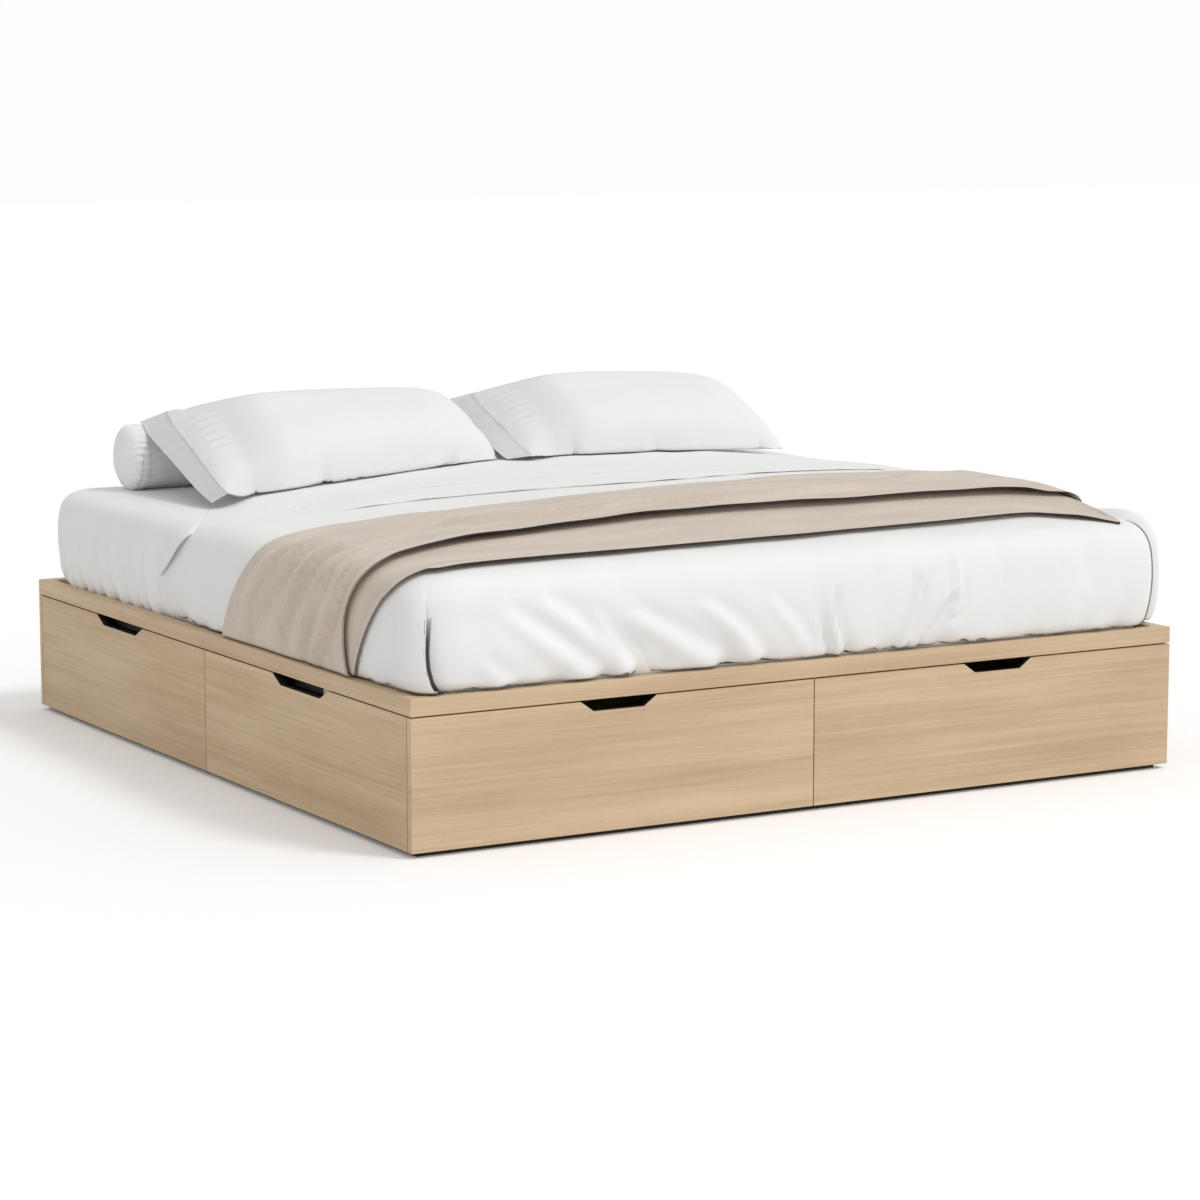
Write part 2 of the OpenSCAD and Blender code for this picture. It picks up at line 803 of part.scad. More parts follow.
// low is the middle of the lower edge and turn its turn in plan; the upper
// edge is parallel to the bed's head, moved along by shift.
module pillow(low, turn, shift, lean) {
  half_low = pillow_w / 2 * [cos(turn), sin(turn), 0];
  half_up = pillow_w / 2 * [1, 0, 0];
  up = low + [shift, pillow_up * cos(lean), pillow_up * sin(lean)];
  c = [settled(low - half_low), settled(low + half_low), up - half_up, up + half_up];
  normal = [0, -sin(lean), cos(lean)];
  body = [1 - 2 * flange_w / pillow_w, 1 - 2 * flange_w / pillow_up];
  last = len(pillow_rings) - 1;
  hem = flange_t / 2;
  rings = concat(
    [for (r = pillow_rings) pillow_ring(c, normal, r, body_squareness, body, -dome(r) - hem)],
    [for (lift = [-hem, hem]) pillow_ring(c, normal, 1, flange_squareness, [1, 1], lift)],
    [for (k = [last : -1 : 0])
      let (r = pillow_rings[k])
        pillow_ring(c, normal, r, body_squareness, body, dome(r) + hem)]);
  color(linen) skin(rings);
}

bolster_r = bolster_d / 2;
bolster_y = mhl - bolster_in;
bolster_z = mattress_top + rise(bolster_in, mattress_crown) + soft_gap / 2 + bolster_r;

// Height of the turned sheet's upper face at x, with air above it.
function bed_top(x) =
  mattress_top + quilt_t + cuff_t + 4 * soft_gap
  + rise(mhw - abs(x), mattress_crown + quilt_crown);

function settled(p) = [p[0], p[1], bed_top(p[0]) - pillow_settle];

// Middle of a pillow's lower edge. The pillow leans against the bolster,
// where its back stands out from the plane of its seam by a share of half
// its thickness.
function pillow_low(x, lean, share) =
  let (
    z = bed_top(x),
    back = bolster_r + soft_gap + share * pillow_t / 2,
    rise_to_axis = (bolster_z - z) * cos(lean)
  )
  [x, bolster_y - (back + rise_to_axis) / sin(lean), z - pillow_settle];

left_back = 0.412;
right_back = 0.459;

module pillow_left() {
  pillow(pillow_low(-left_pillow_x, lean_left, left_back), left_pillow_turn,
         -left_pillow_shift, lean_left);
}

module pillow_right() {
  pillow(pillow_low(right_pillow_x, lean_right, right_back), -right_pillow_turn,
         -right_pillow_shift, lean_right);
}

// Bolster with a piped seam and slightly domed, gathered ends.
module bolster() {
  r = bolster_r;
  half = bolster_l / 2;
  color(linen)
    translate([0, bolster_y, bolster_z])
      rotate([0, 90, 0])
        rotate_extrude($fn = 48)
          polygon(concat(
            [[0, -half - 6], [r * 0.5, -half - 3], [r * 0.86, -half + 4], [r - 3, -half + 14],
             [r, -half + 24], [r - 2.5, -half + 32], [r, -half + 60]],
            [[r, half - 60], [r - 2.5, half - 32], [r, half - 24], [r - 3, half - 14],
             [r * 0.86, half - 4], [r * 0.5, half + 3], [0, half + 6]]));
}

rim_left();
rim_right();
rim_foot();
rim_head();
plinth_rails();
head_panel();
spine_panel();
cross_panel();
foot_divider();
side_divider_left();
side_divider_right();
blind_panel_left();
blind_panel_right();
slat_ledgers();
slats();
corner_angles();
slide_rails_left();
slide_rails_right();
slide_rails_foot();
left_piece("near", "front");  // front_left_near
left_piece("near", "box");  // box_left_near
left_piece("near", "bottom");  // bottom_left_near
left_piece("near", "runners");  // runners_left_near
left_piece("near", "mid");  // mid_left_near
left_piece("far", "front");  // front_left_far
left_piece("far", "box");  // box_left_far
left_piece("far", "bottom");  // bottom_left_far
left_piece("far", "runners");  // runners_left_far
left_piece("far", "mid");  // mid_left_far
right_piece("near", "front");  // front_right_near
right_piece("near", "box");  // box_right_near
right_piece("near", "bottom");  // bottom_right_near
right_piece("near", "runners");  // runners_right_near
right_piece("near", "mid");  // mid_right_near
right_piece("far", "front");  // front_right_far
right_piece("far", "box");  // box_right_far
right_piece("far", "bottom");  // bottom_right_far
right_piece("far", "runners");  // runners_right_far
right_piece("far", "mid");  // mid_right_far
foot_left_piece("front");  // front_foot_left
foot_left_piece("box");  // box_foot_left
foot_left_piece("bottom");  // bottom_foot_left
foot_left_piece("runners");  // runners_foot_left
foot_left_piece("mid");  // mid_foot_left
foot_right_piece("front");  // front_foot_right
foot_right_piece("box");  // box_foot_right
foot_right_piece("bottom");  // bottom_foot_right
foot_right_piece("runners");  // runners_foot_right
foot_right_piece("mid");  // mid_foot_right
mattress();
quilt();
sheet_cuff();
throw();
pillow_left();
pillow_right();
bolster();
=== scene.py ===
# %% [markdown]
# # A storage bed, dressed
#
# The hard parts of this bed come from its CAD model: the frame boards, the
# drawers, the slides and the slats. They are loaded first and never moved.
# Blender adds what CAD can't give: wood that looks like wood, and cloth that
# looks like cloth.

# %% Load the frame
import math

import bpy
import numpy as np
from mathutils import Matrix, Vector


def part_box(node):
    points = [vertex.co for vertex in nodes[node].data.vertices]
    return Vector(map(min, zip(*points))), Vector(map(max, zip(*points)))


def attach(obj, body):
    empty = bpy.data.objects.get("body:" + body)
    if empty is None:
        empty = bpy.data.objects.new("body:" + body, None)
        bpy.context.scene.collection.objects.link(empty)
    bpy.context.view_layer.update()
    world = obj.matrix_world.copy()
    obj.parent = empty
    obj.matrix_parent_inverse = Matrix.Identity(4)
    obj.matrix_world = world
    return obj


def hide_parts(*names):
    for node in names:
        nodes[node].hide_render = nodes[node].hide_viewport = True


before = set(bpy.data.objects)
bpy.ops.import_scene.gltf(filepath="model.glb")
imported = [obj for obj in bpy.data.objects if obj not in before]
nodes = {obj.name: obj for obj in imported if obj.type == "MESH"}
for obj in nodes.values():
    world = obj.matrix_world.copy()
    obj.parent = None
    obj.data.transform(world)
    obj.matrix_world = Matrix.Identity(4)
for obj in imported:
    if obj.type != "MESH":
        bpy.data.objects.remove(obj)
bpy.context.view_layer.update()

# %% [markdown]
# ## Camera and light
#
# The photograph was taken with a long lens from beyond the foot's left
# corner, a little above the bed. A wide soft light from the front right
# leaves the left side darker, and the sky fills the rest.

# %% Camera
LENS = 105.3
CAMERA_AT = (-4.251, -7.423, 1.578)
LOOKS_DOWN = 8.22
LOOKS_RIGHT = 30.16
camera_data = bpy.data.cameras.new("camera")
camera_data.lens = LENS
camera_data.sensor_width = 36
camera = bpy.data.objects.new("camera", camera_data)
camera.location = CAMERA_AT
camera.rotation_euler = (math.radians(90 - LOOKS_DOWN), 0, math.radians(-LOOKS_RIGHT))
bpy.context.collection.objects.link(camera)
bpy.context.scene.camera = camera
bpy.context.scene.view_settings.view_transform = "Standard"


# %% Lamp
# A sun lights the whole floor evenly, so that no edge of its light shows. Its
# disk is wide, which makes the shadows soft.
SUN_POWER = 0.88
SUN_DISK = 14
SUN_OFF_ZENITH = 37
SUN_TURN = 37
bpy.ops.object.select_all(action="DESELECT")
bpy.ops.object.light_add(type="SUN")
key = bpy.context.object
key.name = "key_light"
key.data.energy = SUN_POWER
key.data.angle = math.radians(SUN_DISK)
key.rotation_euler = (math.radians(SUN_OFF_ZENITH), 0, math.radians(SUN_TURN))


# %% [markdown]
# ## Shader sums written as sums
#
# A material is a graph of nodes, which is hard to read when it is long. So a
# small class stands for a socket, and Python's operators add the Math nodes.
# A second one is the workbench that makes a material's nodes.

# %% Sockets with operators
class Wire:
    """The output of a node, which can be written in a sum."""

    def __init__(self, bench, socket):
        self.bench = bench
        self.socket = socket

    def join(self, operation, first, second):
        return self.bench.add("ShaderNodeMath", {"operation": operation}, {0: first, 1: second})

    def __add__(self, other):
        return self.join("ADD", self, other)

    def __sub__(self, other):
        return self.join("SUBTRACT", self, other)

    def __rsub__(self, other):
        return self.join("SUBTRACT", other, self)

    def __mul__(self, other):
        return self.join("MULTIPLY", self, other)

    __radd__, __rmul__ = __add__, __mul__

    def steps(self, low, high):
        """0 below low, 1 above high, and a smooth rise between them."""
        settings = {"interpolation_type": "SMOOTHSTEP"}
        return self.bench.add("ShaderNodeMapRange", settings, {0: self, 1: low, 2: high})


class Bench:
    """Makes the nodes of one material, or of the world."""

    def __init__(self, name, library="materials"):
        self.owner = getattr(bpy.data, library).new(name)
        self.owner.use_nodes = True
        self.tree = self.owner.node_tree
        self.shader = self.tree.nodes.get("Principled BSDF")

    def add(self, kind, settings=None, inputs=None, output=0):
        node = self.tree.nodes.new(kind)
        for key, value in (settings or {}).items():
            setattr(node, key, value)
        for key, value in (inputs or {}).items():
            self.feed(node.inputs[key], value)
        return Wire(self, node.outputs[output])

    def feed(self, target, value):
        if isinstance(value, Wire):
            self.tree.links.new(value.socket, target)
        else:
            target.default_value = value

    def place(self, shift=(0, 0, 0), scale=(1, 1, 1), output=3):
        """The place on the piece, in metres."""
        spot = self.add("ShaderNodeTexCoord", output=output)
        return self.add("ShaderNodeMapping", None, {"Vector": spot, "Location": shift, "Scale": scale})

    def chart(self, scale=(1, 1, 1)):
        """The piece's own UV map, in metres of cloth."""
        return self.place(scale=scale, output=2)

    def axis(self, where, number):
        return self.add("ShaderNodeSeparateXYZ", None, {0: where}, output=number)

    def noise(self, where, detail=2.0, rough=0.5, warp=0.0, scale=1.0):
        inputs = {"Vector": where, "Scale": scale, "Detail": detail, "Roughness": rough, "Distortion": warp}
        return self.add("ShaderNodeTexNoise", None, inputs)

    def blend(self, factor, first, second):
        inputs = {0: factor, 6: first, 7: second}
        return self.add("ShaderNodeMix", {"data_type": "RGBA"}, inputs, output=2)

    def bump(self, height, distance, strength):
        inputs = {"Height": height, "Distance": distance, "Strength": strength}
        return self.add("ShaderNodeBump", None, inputs)

    def finish(self, **sockets):
        for key, value in sockets.items():
            self.feed(self.shader.inputs[key.replace("_", " ")], value)
        return self.owner

    def shows(self, shader):
        output = self.tree.get_output_node("ALL")
        self.feed(output.inputs["Surface"], shader)
        return self.owner


def rgb(red, green, blue):
    """A colour as a screen shows it, 0 to 255, as the shader wants it."""
    def linear(value):
        value = value / 255
        return value / 12.92 if value <= 0.04045 else ((value + 0.055) / 1.055) ** 2.4
    return (linear(red), linear(green), linear(blue), 1)


# %% [markdown]
# ## The white room
#
# The floor is white for the camera and keeps a soft shadow. What the camera
# sees past the floor's end is the world's own white.

# %% World and floor
SKY = 0.735
SKY_LEAN = (0.17, -0.26)
SKY_COLOUR = (1, 0.995, 0.985, 1)
WHITE = (1, 1, 1, 1)
WHITE_SEEN = 0.99
FLOOR_LIT = (0.88, 0.88, 0.88, 1)
FLOOR_SEEN = (0.988, 0.993, 1, 1)
FLOOR_GLOW = 0.06


def white_world():
    """The sky is brighter to the right and the foot; the camera sees it white."""
    bench = Bench("world", "worlds")
    way, power = bench.add("ShaderNodeTexCoord"), SKY
    for number in (0, 1):
        power = bench.axis(way, number) * (SKY * SKY_LEAN[number]) + power
    seen = bench.add("ShaderNodeLightPath", output="Is Camera Ray")
    for ray in ("Is Glossy Ray", "Is Transmission Ray"):
        seen = seen.join("MAXIMUM", seen, bench.add("ShaderNodeLightPath", output=ray))
    lit = bench.add("ShaderNodeBackground", None, {0: SKY_COLOUR, 1: power})
    plain = bench.add("ShaderNodeBackground", None, {0: WHITE, 1: WHITE_SEEN})
    return bench.shows(bench.add("ShaderNodeMixShader", None, {0: seen, 1: lit, 2: plain}))


def white_floor():
    """The camera sees the floor a little whiter than it lights the bed."""
    bench = Bench("white_floor")
    seen = bench.add("ShaderNodeLightPath")
    bench.finish(Base_Color=bench.blend(seen, FLOOR_LIT, FLOOR_SEEN), Roughness=1.0)
    none, glow = (bench.add("ShaderNodeEmission", None, {1: power}) for power in (0.0, FLOOR_GLOW))
    lift = bench.add("ShaderNodeMixShader", None, {0: seen, 1: none, 2: glow})
    base = Wire(bench, bench.shader.outputs[0])
    return bench.shows(bench.add("ShaderNodeAddShader", None, {0: base, 1: lift}))


bpy.context.scene.world = white_world()
bpy.ops.object.select_all(action="DESELECT")
bpy.ops.mesh.primitive_plane_add(size=80, location=(0, 0, 0))
floor = bpy.context.object
floor.name = "floor"
floor.data.materials.append(white_floor())


# %% [markdown]
# ## Light oak
#
# The boards are veneered: long fine streaks run along each board and waver a
# little, with short darker pores between them. Noise stretched along the
# grain gives all three. No two boards are alike: each has its own shift.

# %% Oak
def oak(name, along, shift, light, dark, grip=None):
    """along is the axis of the grain: 0 for X, 1 for Y, 2 for Z."""
    bench = Bench(name)

    def stretched(lengthways, across):
        scale = [across, across, across]
        scale[along] = lengthways
        return bench.place(shift, scale)

    drift = bench.noise(stretched(0.9, 2.6))
    waver = bench.noise(stretched(3.0, 14.0))
    bands = bench.noise(stretched(0.8, 34.0), 3.0, 0.6, 0.5)
    streaks = bench.noise(stretched(2.2, 170.0), 3.0, 0.62)
    fibres = bench.noise(stretched(9.0, 900.0), 2.0, 0.6)
    pores = bench.noise(stretched(42.0, 1300.0), 1.0).steps(0.6, 0.72)
    tone = 0.2 * drift + 0.16 * waver + 0.3 * bands + 0.24 * streaks + 0.1 * fibres
    tone = tone.steps(0.34, 0.66)
    colour = bench.blend(tone, dark, light)
    colour = bench.blend(pores * 0.22, colour, OAK_PORE)
    # painted shadow: what shows inside a grip is painted near-black, for the shade in the slot
    if grip is not None:
        colour = bench.blend(in_grip(bench, *grip), colour, GRIP_PAINTED_SHADOW)
    grain = bench.bump(streaks * 0.5 + fibres * 0.5 - pores * 0.6, 0.0004, 0.35)
    return bench.finish(Base_Color=colour, Roughness=0.62 - tone * 0.08, Normal=grain)


def in_grip(bench, along, middle, half, floor, face, inwards):
    """1 on what a grip shows behind a front's face, which is painted dark as shadow, and 0 on all else."""
    spot = bench.add("ShaderNodeTexCoord", output=3)
    beside, through, up = (bench.axis(spot, number) for number in (along, 1 - along, 2))
    within = beside.steps(middle - half - 0.001, middle - half)
    within = within * (1 - beside.steps(middle + half, middle + half + 0.001))
    depth = (through - face) * inwards
    return within * up.steps(floor - 0.0015, floor - 0.0005) * depth.steps(0.0004, 0.001)


OAK_LIGHT = rgb(217, 192, 159)
OAK_DARK = rgb(188, 160, 126)
OAK_PORE = rgb(150, 120, 86)
# near-black painted shadow for what shows inside the grips
GRIP_PAINTED_SHADOW = rgb(12, 11, 10)
BOX_WIDER, BOX_LOWER = 0.08, 0.02
INNER_LIGHT = rgb(222, 204, 178)
INNER_DARK = rgb(204, 184, 155)
GRIP_DEPTH = 0.022
GRIP_HALF = {"foot": 0.094, "side": 0.143}
GRAIN = {"rim_left": 1, "rim_right": 1, "rim_foot": 0, "rim_head": 0, "head_panel": 0,
         "spine_panel": 1, "cross_panel": 0, "foot_divider": 1, "side_divider_left": 0,
         "side_divider_right": 0, "blind_panel_left": 1, "blind_panel_right": 1, "slats": 0}


def dress(node, material):
    mesh = nodes[node].data
    mesh.materials.clear()
    mesh.materials.append(material)


def grip_of(front, wider, lower):
    """Where a front has its grip, whose inside is painted dark as shadow: the axis
    along the front, middle, half its width, the grip's floor, the front's face
    and the way in. One that looks in at a slant sees the box behind it a little
    wider and lower, so the box's painted shadow reaches wider and lower."""
    low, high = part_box(front)
    along = 0 if "foot" in front else 1
    face_at_low = "foot" in front or "left" in front
    face = (low if face_at_low else high)[1 - along]
    half = GRIP_HALF["foot" if "foot" in front else "side"] + wider
    floor = high.z - GRIP_DEPTH - lower
    return along, (low[along] + high[along]) / 2, half, floor, face, 1 if face_at_low else -1


for number, name in enumerate(sorted(nodes)):
    kind = name.split("_")[0]
    if kind in ("front", "box", "bottom"):
        along = 0 if "foot" in name else 1
    elif name in GRAIN:
        along = GRAIN[name]
    else:
        continue
    shown = kind in ("front", "rim", "head")
    light, dark = (OAK_LIGHT, OAK_DARK) if shown else (INNER_LIGHT, INNER_DARK)
    shift = (number * 3.7, number * 5.3, number * 2.9)
    grip = None
    if kind == "front":
        grip = grip_of(name, 0, 0)
    elif kind == "box":
        grip = grip_of(name.replace("box", "front"), BOX_WIDER, BOX_LOWER)
    dress(name, oak("oak_" + name, along, shift, light, dark, grip))


# %% [markdown]
# ## Plinth and steel
#
# The plinth is black laminate and is only seen as a dark line. The slats'
# ledgers are painted near-black as shadow, for the dark inside the side grips.
# The slides and angles are zinc-plated: grey, with a soft mottle in the gloss.

# %% Plinth and steel
def black_laminate_and_grip_shadow():
    bench = Bench("black_laminate_and_grip_shadow")
    speck = bench.noise(bench.place(), scale=300.0)
    colour = bench.blend(speck, rgb(20, 20, 20), rgb(32, 31, 30))
    return bench.finish(Base_Color=colour, Roughness=0.55 + speck * 0.1)


def zinc():
    bench = Bench("zinc")
    spangle = bench.noise(bench.place(), 3.0, scale=90.0)
    rolled = bench.noise(bench.place(scale=(8, 8, 500)))
    colour = bench.blend(spangle, rgb(176, 178, 180), rgb(206, 207, 208))
    bend = bench.bump(rolled, 0.0001, 0.3)
    return bench.finish(Base_Color=colour, Metallic=1.0, Roughness=0.28 + spangle * 0.2, Normal=bend)


# the plinth is black laminate; the ledgers' near-black is painted shadow for the dark inside the side grips
for hidden in ("plinth_rails", "slat_ledgers"):
    dress(hidden, black_laminate_and_grip_shadow())
steel = zinc()
for name in nodes:
    if name.startswith(("slide_rails", "runners", "mid_", "corner_angles")):
        dress(name, steel)

# %% [markdown]
# ## The bed as a surface
#
# All that is soft lies on the mattress or hangs over its edge. One function
# turns a flat place on a cloth into a place on the bed, with the way that the
# bed faces there. A cloth then only states how high it lies.

# %% Sizes of the mattress
CORE_X = 0.865
CORE_Y = 0.915
CROWN = 0.012
CROWN_REACH = 0.28
SQUARE = 0.74
LOFT = 0.165
RIM_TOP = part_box("rim_left")[1].z
SIDE_LINE = [(0.0, 0.579), (0.03, 0.5782), (0.055, 0.5755), (0.078, 0.569),
             (0.096, 0.557), (0.108, 0.538), (0.1145, 0.51), (0.117, 0.475),
             (0.1165, 0.44), (0.113, 0.4), (0.107, 0.365), (0.0995, 0.343),
             (0.09, 0.329), (0.072, 0.3205), (0.045, 0.3188)]


def rounded(line, rounds):
    """Cuts the corners off a line, again and again."""
    line = np.array(line, float)
    for _ in range(rounds):
        near = 0.75 * line[:-1] + 0.25 * line[1:]
        far = 0.25 * line[:-1] + 0.75 * line[1:]
        middle = np.stack([near, far], 1).reshape(-1, line.shape[1])
        line = np.vstack([line[:1], middle, line[-1:]])
    return line


side_line = rounded(SIDE_LINE, 3)
side_steps = np.linalg.norm(np.diff(side_line, axis=0), axis=1)
side_at = np.concatenate([[0], np.cumsum(side_steps)])
side_way = np.gradient(side_line, axis=0)
side_way /= np.linalg.norm(side_way, axis=1)[:, None]
SIDE_LENGTH = side_at[-1]
print("cloth from the top to the underside:", round(SIDE_LENGTH, 3), "m")


def down_to(height):
    """How far past the flat top a cloth has gone when it hangs to a height."""
    return float(np.interp(-height, -side_line[:, 1], side_at))


def smooth(low, high, value):
    t = np.clip((value - low) / (high - low), 0, 1)
    return t * t * (3 - 2 * t)


def on_bed(flat_x, flat_y, lift):
    """Places on the bed, and the way the bed faces there, for flat places."""
    over_x = np.maximum(np.abs(flat_x) - CORE_X, 0)
    over_y = np.maximum(np.abs(flat_y) - CORE_Y, 0)
    over = np.maximum(over_x, over_y)
    safe = np.maximum(over, 1e-9)
    quarter = math.pi / 4
    turn = np.where(over_x >= over_y, quarter * over_y / safe, 2 * quarter - quarter * over_x / safe)
    turn_x, turn_y = np.cos(turn)**SQUARE, np.sin(turn)**SQUARE
    out = np.interp(over, side_at, side_line[:, 0])
    height = np.interp(over, side_at, side_line[:, 1])
    face_out = -np.interp(over, side_at, side_way[:, 1])
    face_up = np.interp(over, side_at, side_way[:, 0])
    sign_x, sign_y = np.sign(flat_x), np.sign(flat_y)
    core_x = np.minimum(np.abs(flat_x), CORE_X)
    core_y = np.minimum(np.abs(flat_y), CORE_Y)
    crown = CROWN * np.tanh((CORE_X - core_x) / CROWN_REACH) * np.tanh((CORE_Y - core_y) / CROWN_REACH)
    normal = np.stack([sign_x * face_out * np.cos(turn), sign_y * face_out * np.sin(turn), face_up], -1)
    place_x, place_y = sign_x * (core_x + out * turn_x), sign_y * (core_y + out * turn_y)
    place = np.stack([place_x, place_y, height + crown], -1)
    place = place + normal * np.asarray(lift)[..., None]
    full = LOFT * smooth(-0.75, 0.15, place[..., 0]) * smooth(-0.97, -0.62, place[..., 1])
    place[..., 2] += np.maximum(place[..., 2] - RIM_TOP, 0) * full
    return place, normal


# %% [markdown]
# ## Folds
#
# A fold is a soft ridge with a hollow beside it, and grows along a line
# towards the hem. Where cloth laps over itself, its points run past the line
# and then back under it. Small waves, sums of a few random cosines, keep the
# rest from looking machined; they come out the same each time.

# %% Folds and waves
COSINES = 9


def waves(u, v, size, seed):
    """Soft random waves about 1 high, as wide as size."""
    random = np.random.default_rng(seed)
    total = np.zeros(np.broadcast(u, v).shape)
    for _ in range(COSINES):
        way = random.uniform(0, math.pi)
        length = size * random.uniform(0.7, 1.6)
        phase = random.uniform(0, 2 * math.pi)
        total += np.cos(2 * math.pi * (u * math.cos(way) + v * math.sin(way)) / length + phase)
    return total / math.sqrt(COSINES)


def near_line(u, v, line):
    """How far left of a line each place lies, how far along, and the way left."""
    line = rounded(line, 2)
    found = [np.full(np.shape(u), value) for value in (9.0, 0.0, 0.0, 0.0, 0.0)]
    last = len(line) - 1
    for k in range(last):
        start, way = line[k], line[k + 1] - line[k]
        length = np.linalg.norm(way)
        t = np.clip(((u - start[0]) * way[0] + (v - start[1]) * way[1]) / length**2, 0, 1)
        off_u, off_v = u - start[0] - t * way[0], v - start[1] - t * way[1]
        apart = np.hypot(off_u, off_v)
        nearer, side = apart < found[0], np.sign(way[0] * off_v - way[1] * off_u)
        here = (apart, apart * side, (k + t) / last, -way[1] / length, way[0] / length)
        found = [np.where(nearer, new, old) for new, old in zip(here, found)]
    return found[1:]


def fold(u, v, line, width, height, hollow=0.55, grow=0.35, end=0.0):
    """A ridge along a line in (u, v); its hollow lies on the line's left."""
    left, share, _, _ = near_line(u, v, line)
    across = left / (width * (0.55 + 0.45 * share))
    shape = np.exp(-across**2) - hollow * np.exp(-(across - 1.5)**2)
    fade = 1 if end == 0 else smooth(1.0, 1.0 - end, share)
    return height * smooth(0.0, grow, share) * fade * shape


def lapped(left, width, amount):
    """For cloth that laps over what lies on the left of a line: how far each
    point moves to the left, and how much of the lap's height it has."""
    t = left / width
    move = -2.2 * width * t * np.exp(0.5 * (1 - t * t))
    return amount * move, amount * smooth(1.2, -1.2, t)


# %% [markdown]
# ## Linen
#
# The sheets are plain white cotton: a fine weave with a few thicker threads,
# which from a step away is only a soft, matte white. A stitched hem shows as
# a dent and a thin line of painted grey shade, at a place on the cloth's own
# map. Edges over a dark gap get a line of painted shadow.

# %% Cloth materials
def stitched_at(place, depth):
    """A stitched hem: a thin line of painted shade across the cloth's map, with gaps."""
    def mask(bench):
        across = bench.axis(bench.chart(), 1)
        wander = bench.noise(bench.chart((30, 0, 1))) * 0.002 + across
        line = wander.steps(place - depth, place) * (1 - wander.steps(place, place + depth))
        gaps = bench.noise(bench.chart((9, 0, 1))).steps(0.36, 0.56)
        return line * (0.35 + 0.65 * gaps)
    return mask


def beyond(axis, sign, edge, width, at_sides=1.0):
    """Painted shadow on the last bit of the cloth before an edge, where a dark
    gap lies under it; at the bed's sides it may be fainter."""
    def mask(bench):
        u, v = (bench.axis(bench.chart(), number) for number in (0, 1))
        ragged = bench.noise(bench.chart((45, 45, 1))) * width * 0.8
        edge_mask = (sign * (v if axis else u) + ragged).steps(edge - width, edge - width * 0.6)
        off_middle = bench.add("ShaderNodeMath", {"operation": "ABSOLUTE"}, {0: u})
        hanging = off_middle.steps(CORE_X + 0.03, CORE_X + 0.16)
        return edge_mask * (1 - (1 - at_sides) * hanging)
    return mask


def kept(bench, name):
    """A number that the cloth's points carry."""
    return bench.add("ShaderNodeAttribute", {"attribute_name": name}, output=2)


def in_lap(corner, end):
    """Painted shadow under the edge of a corner's lap, as far as the lap has opened."""
    def mask(bench):
        across, opened = kept(bench, corner + "_across"), kept(bench, corner + "_open")
        under = across.steps(-1.15, -0.8) * (1 - across.steps(end, end + 0.2))
        return under * opened.steps(0.8, 0.98)
    return mask


def towards(name):
    """Where a number on the points rises above 0."""
    def mask(bench):
        return kept(bench, name).steps(0.0, 0.4)
    return mask


def woven(name, light, dark, thread, sheen, relief, marks=(), brushed=(5, 5)):
    """marks are places with painted shade: (mask, shade, dent)."""
    bench = Bench(name)
    where = bench.chart()
    pitch = 2 * math.pi / thread
    lines = [bench.add("ShaderNodeTexWave", {"bands_direction": way},
                       {"Vector": where, "Scale": pitch / 20, "Distortion": 0.6, "Detail": 1.0}, output=1)
             for way in ("X", "Y")]
    slub_x = bench.noise(bench.chart((60, 900, 1)))
    slub_y = bench.noise(bench.chart((900, 60, 1)))
    cloud = bench.noise(bench.chart((*brushed, 1)), 3.0)
    tone = 0.3 * slub_x + 0.3 * slub_y + 0.4 * cloud
    colour = bench.blend(tone.steps(0.34, 0.66), dark, light)
    weave = lines[0] * lines[1] + 0.5 * slub_x + 0.5 * slub_y
    for mask, shade, dent in marks:
        marked = mask(bench)
        colour = bench.blend(marked, colour, shade)
        weave = weave - dent * marked
    relief_node = bench.bump(weave, relief, 0.5)
    return bench.finish(Base_Color=colour, Roughness=0.95 - tone * 0.1, Normal=relief_node,
                        Sheen_Weight=sheen, Sheen_Roughness=0.5, Specular_IOR_Level=0.2)


LINEN = {"light": rgb(241, 241, 240), "dark": rgb(236, 236, 236),
         "thread": 0.0011, "sheen": 0.1, "relief": 0.0002}
# the pillows get the same linen a touch darker: painted shade on their fronts
SHADED_PILLOW_LINEN = LINEN | {"light": rgb(237, 237, 236), "dark": rgb(232, 232, 232)}
HEM = down_to(0.342)
# painted shadows on the quilt: along its foot and side hems, over the dark gaps under them, and under the
# edges of its corner laps
SIDE_HEM_PAINTED_SHADOW = rgb(66, 63, 60)
FOOT_HEM_PAINTED_SHADOW = rgb(38, 36, 34)
LAP_PAINTED_SHADOW = rgb(96, 95, 94)
linen = woven("white_linen", **LINEN)
quilt_linen = woven("quilt_linen", **LINEN, marks=[
    (beyond(1, -1, CORE_Y + HEM, 0.0055), FOOT_HEM_PAINTED_SHADOW, 0),
    (beyond(0, -1, CORE_X + HEM, 0.0035), SIDE_HEM_PAINTED_SHADOW, 0),
    (beyond(0, 1, CORE_X + HEM, 0.0035), SIDE_HEM_PAINTED_SHADOW, 0),
    (in_lap("near", 2.24), LAP_PAINTED_SHADOW, 0), (in_lap("far", 2.4), LAP_PAINTED_SHADOW, 0)])


# %% [markdown]
# ## Making cloth from a grid
#
# A cloth is a grid of points with a UV map in metres of cloth, so that its
# weave keeps its size. Solidify gives it its thickness, towards the bed.

# %% Grid meshes
def new_piece(name, points, faces):
    mesh = bpy.data.meshes.new(name)
    mesh.from_pydata(points.tolist(), [], faces.tolist())
    piece = bpy.data.objects.new(name, mesh)
    bpy.context.collection.objects.link(piece)
    return piece


def quads(number):
    """The faces between the points of a grid, from the points' numbers."""
    corners = [number[:-1, :-1], number[:-1, 1:], number[1:, 1:], number[1:, :-1]]
    return np.stack(corners, -1).reshape(-1, 4)


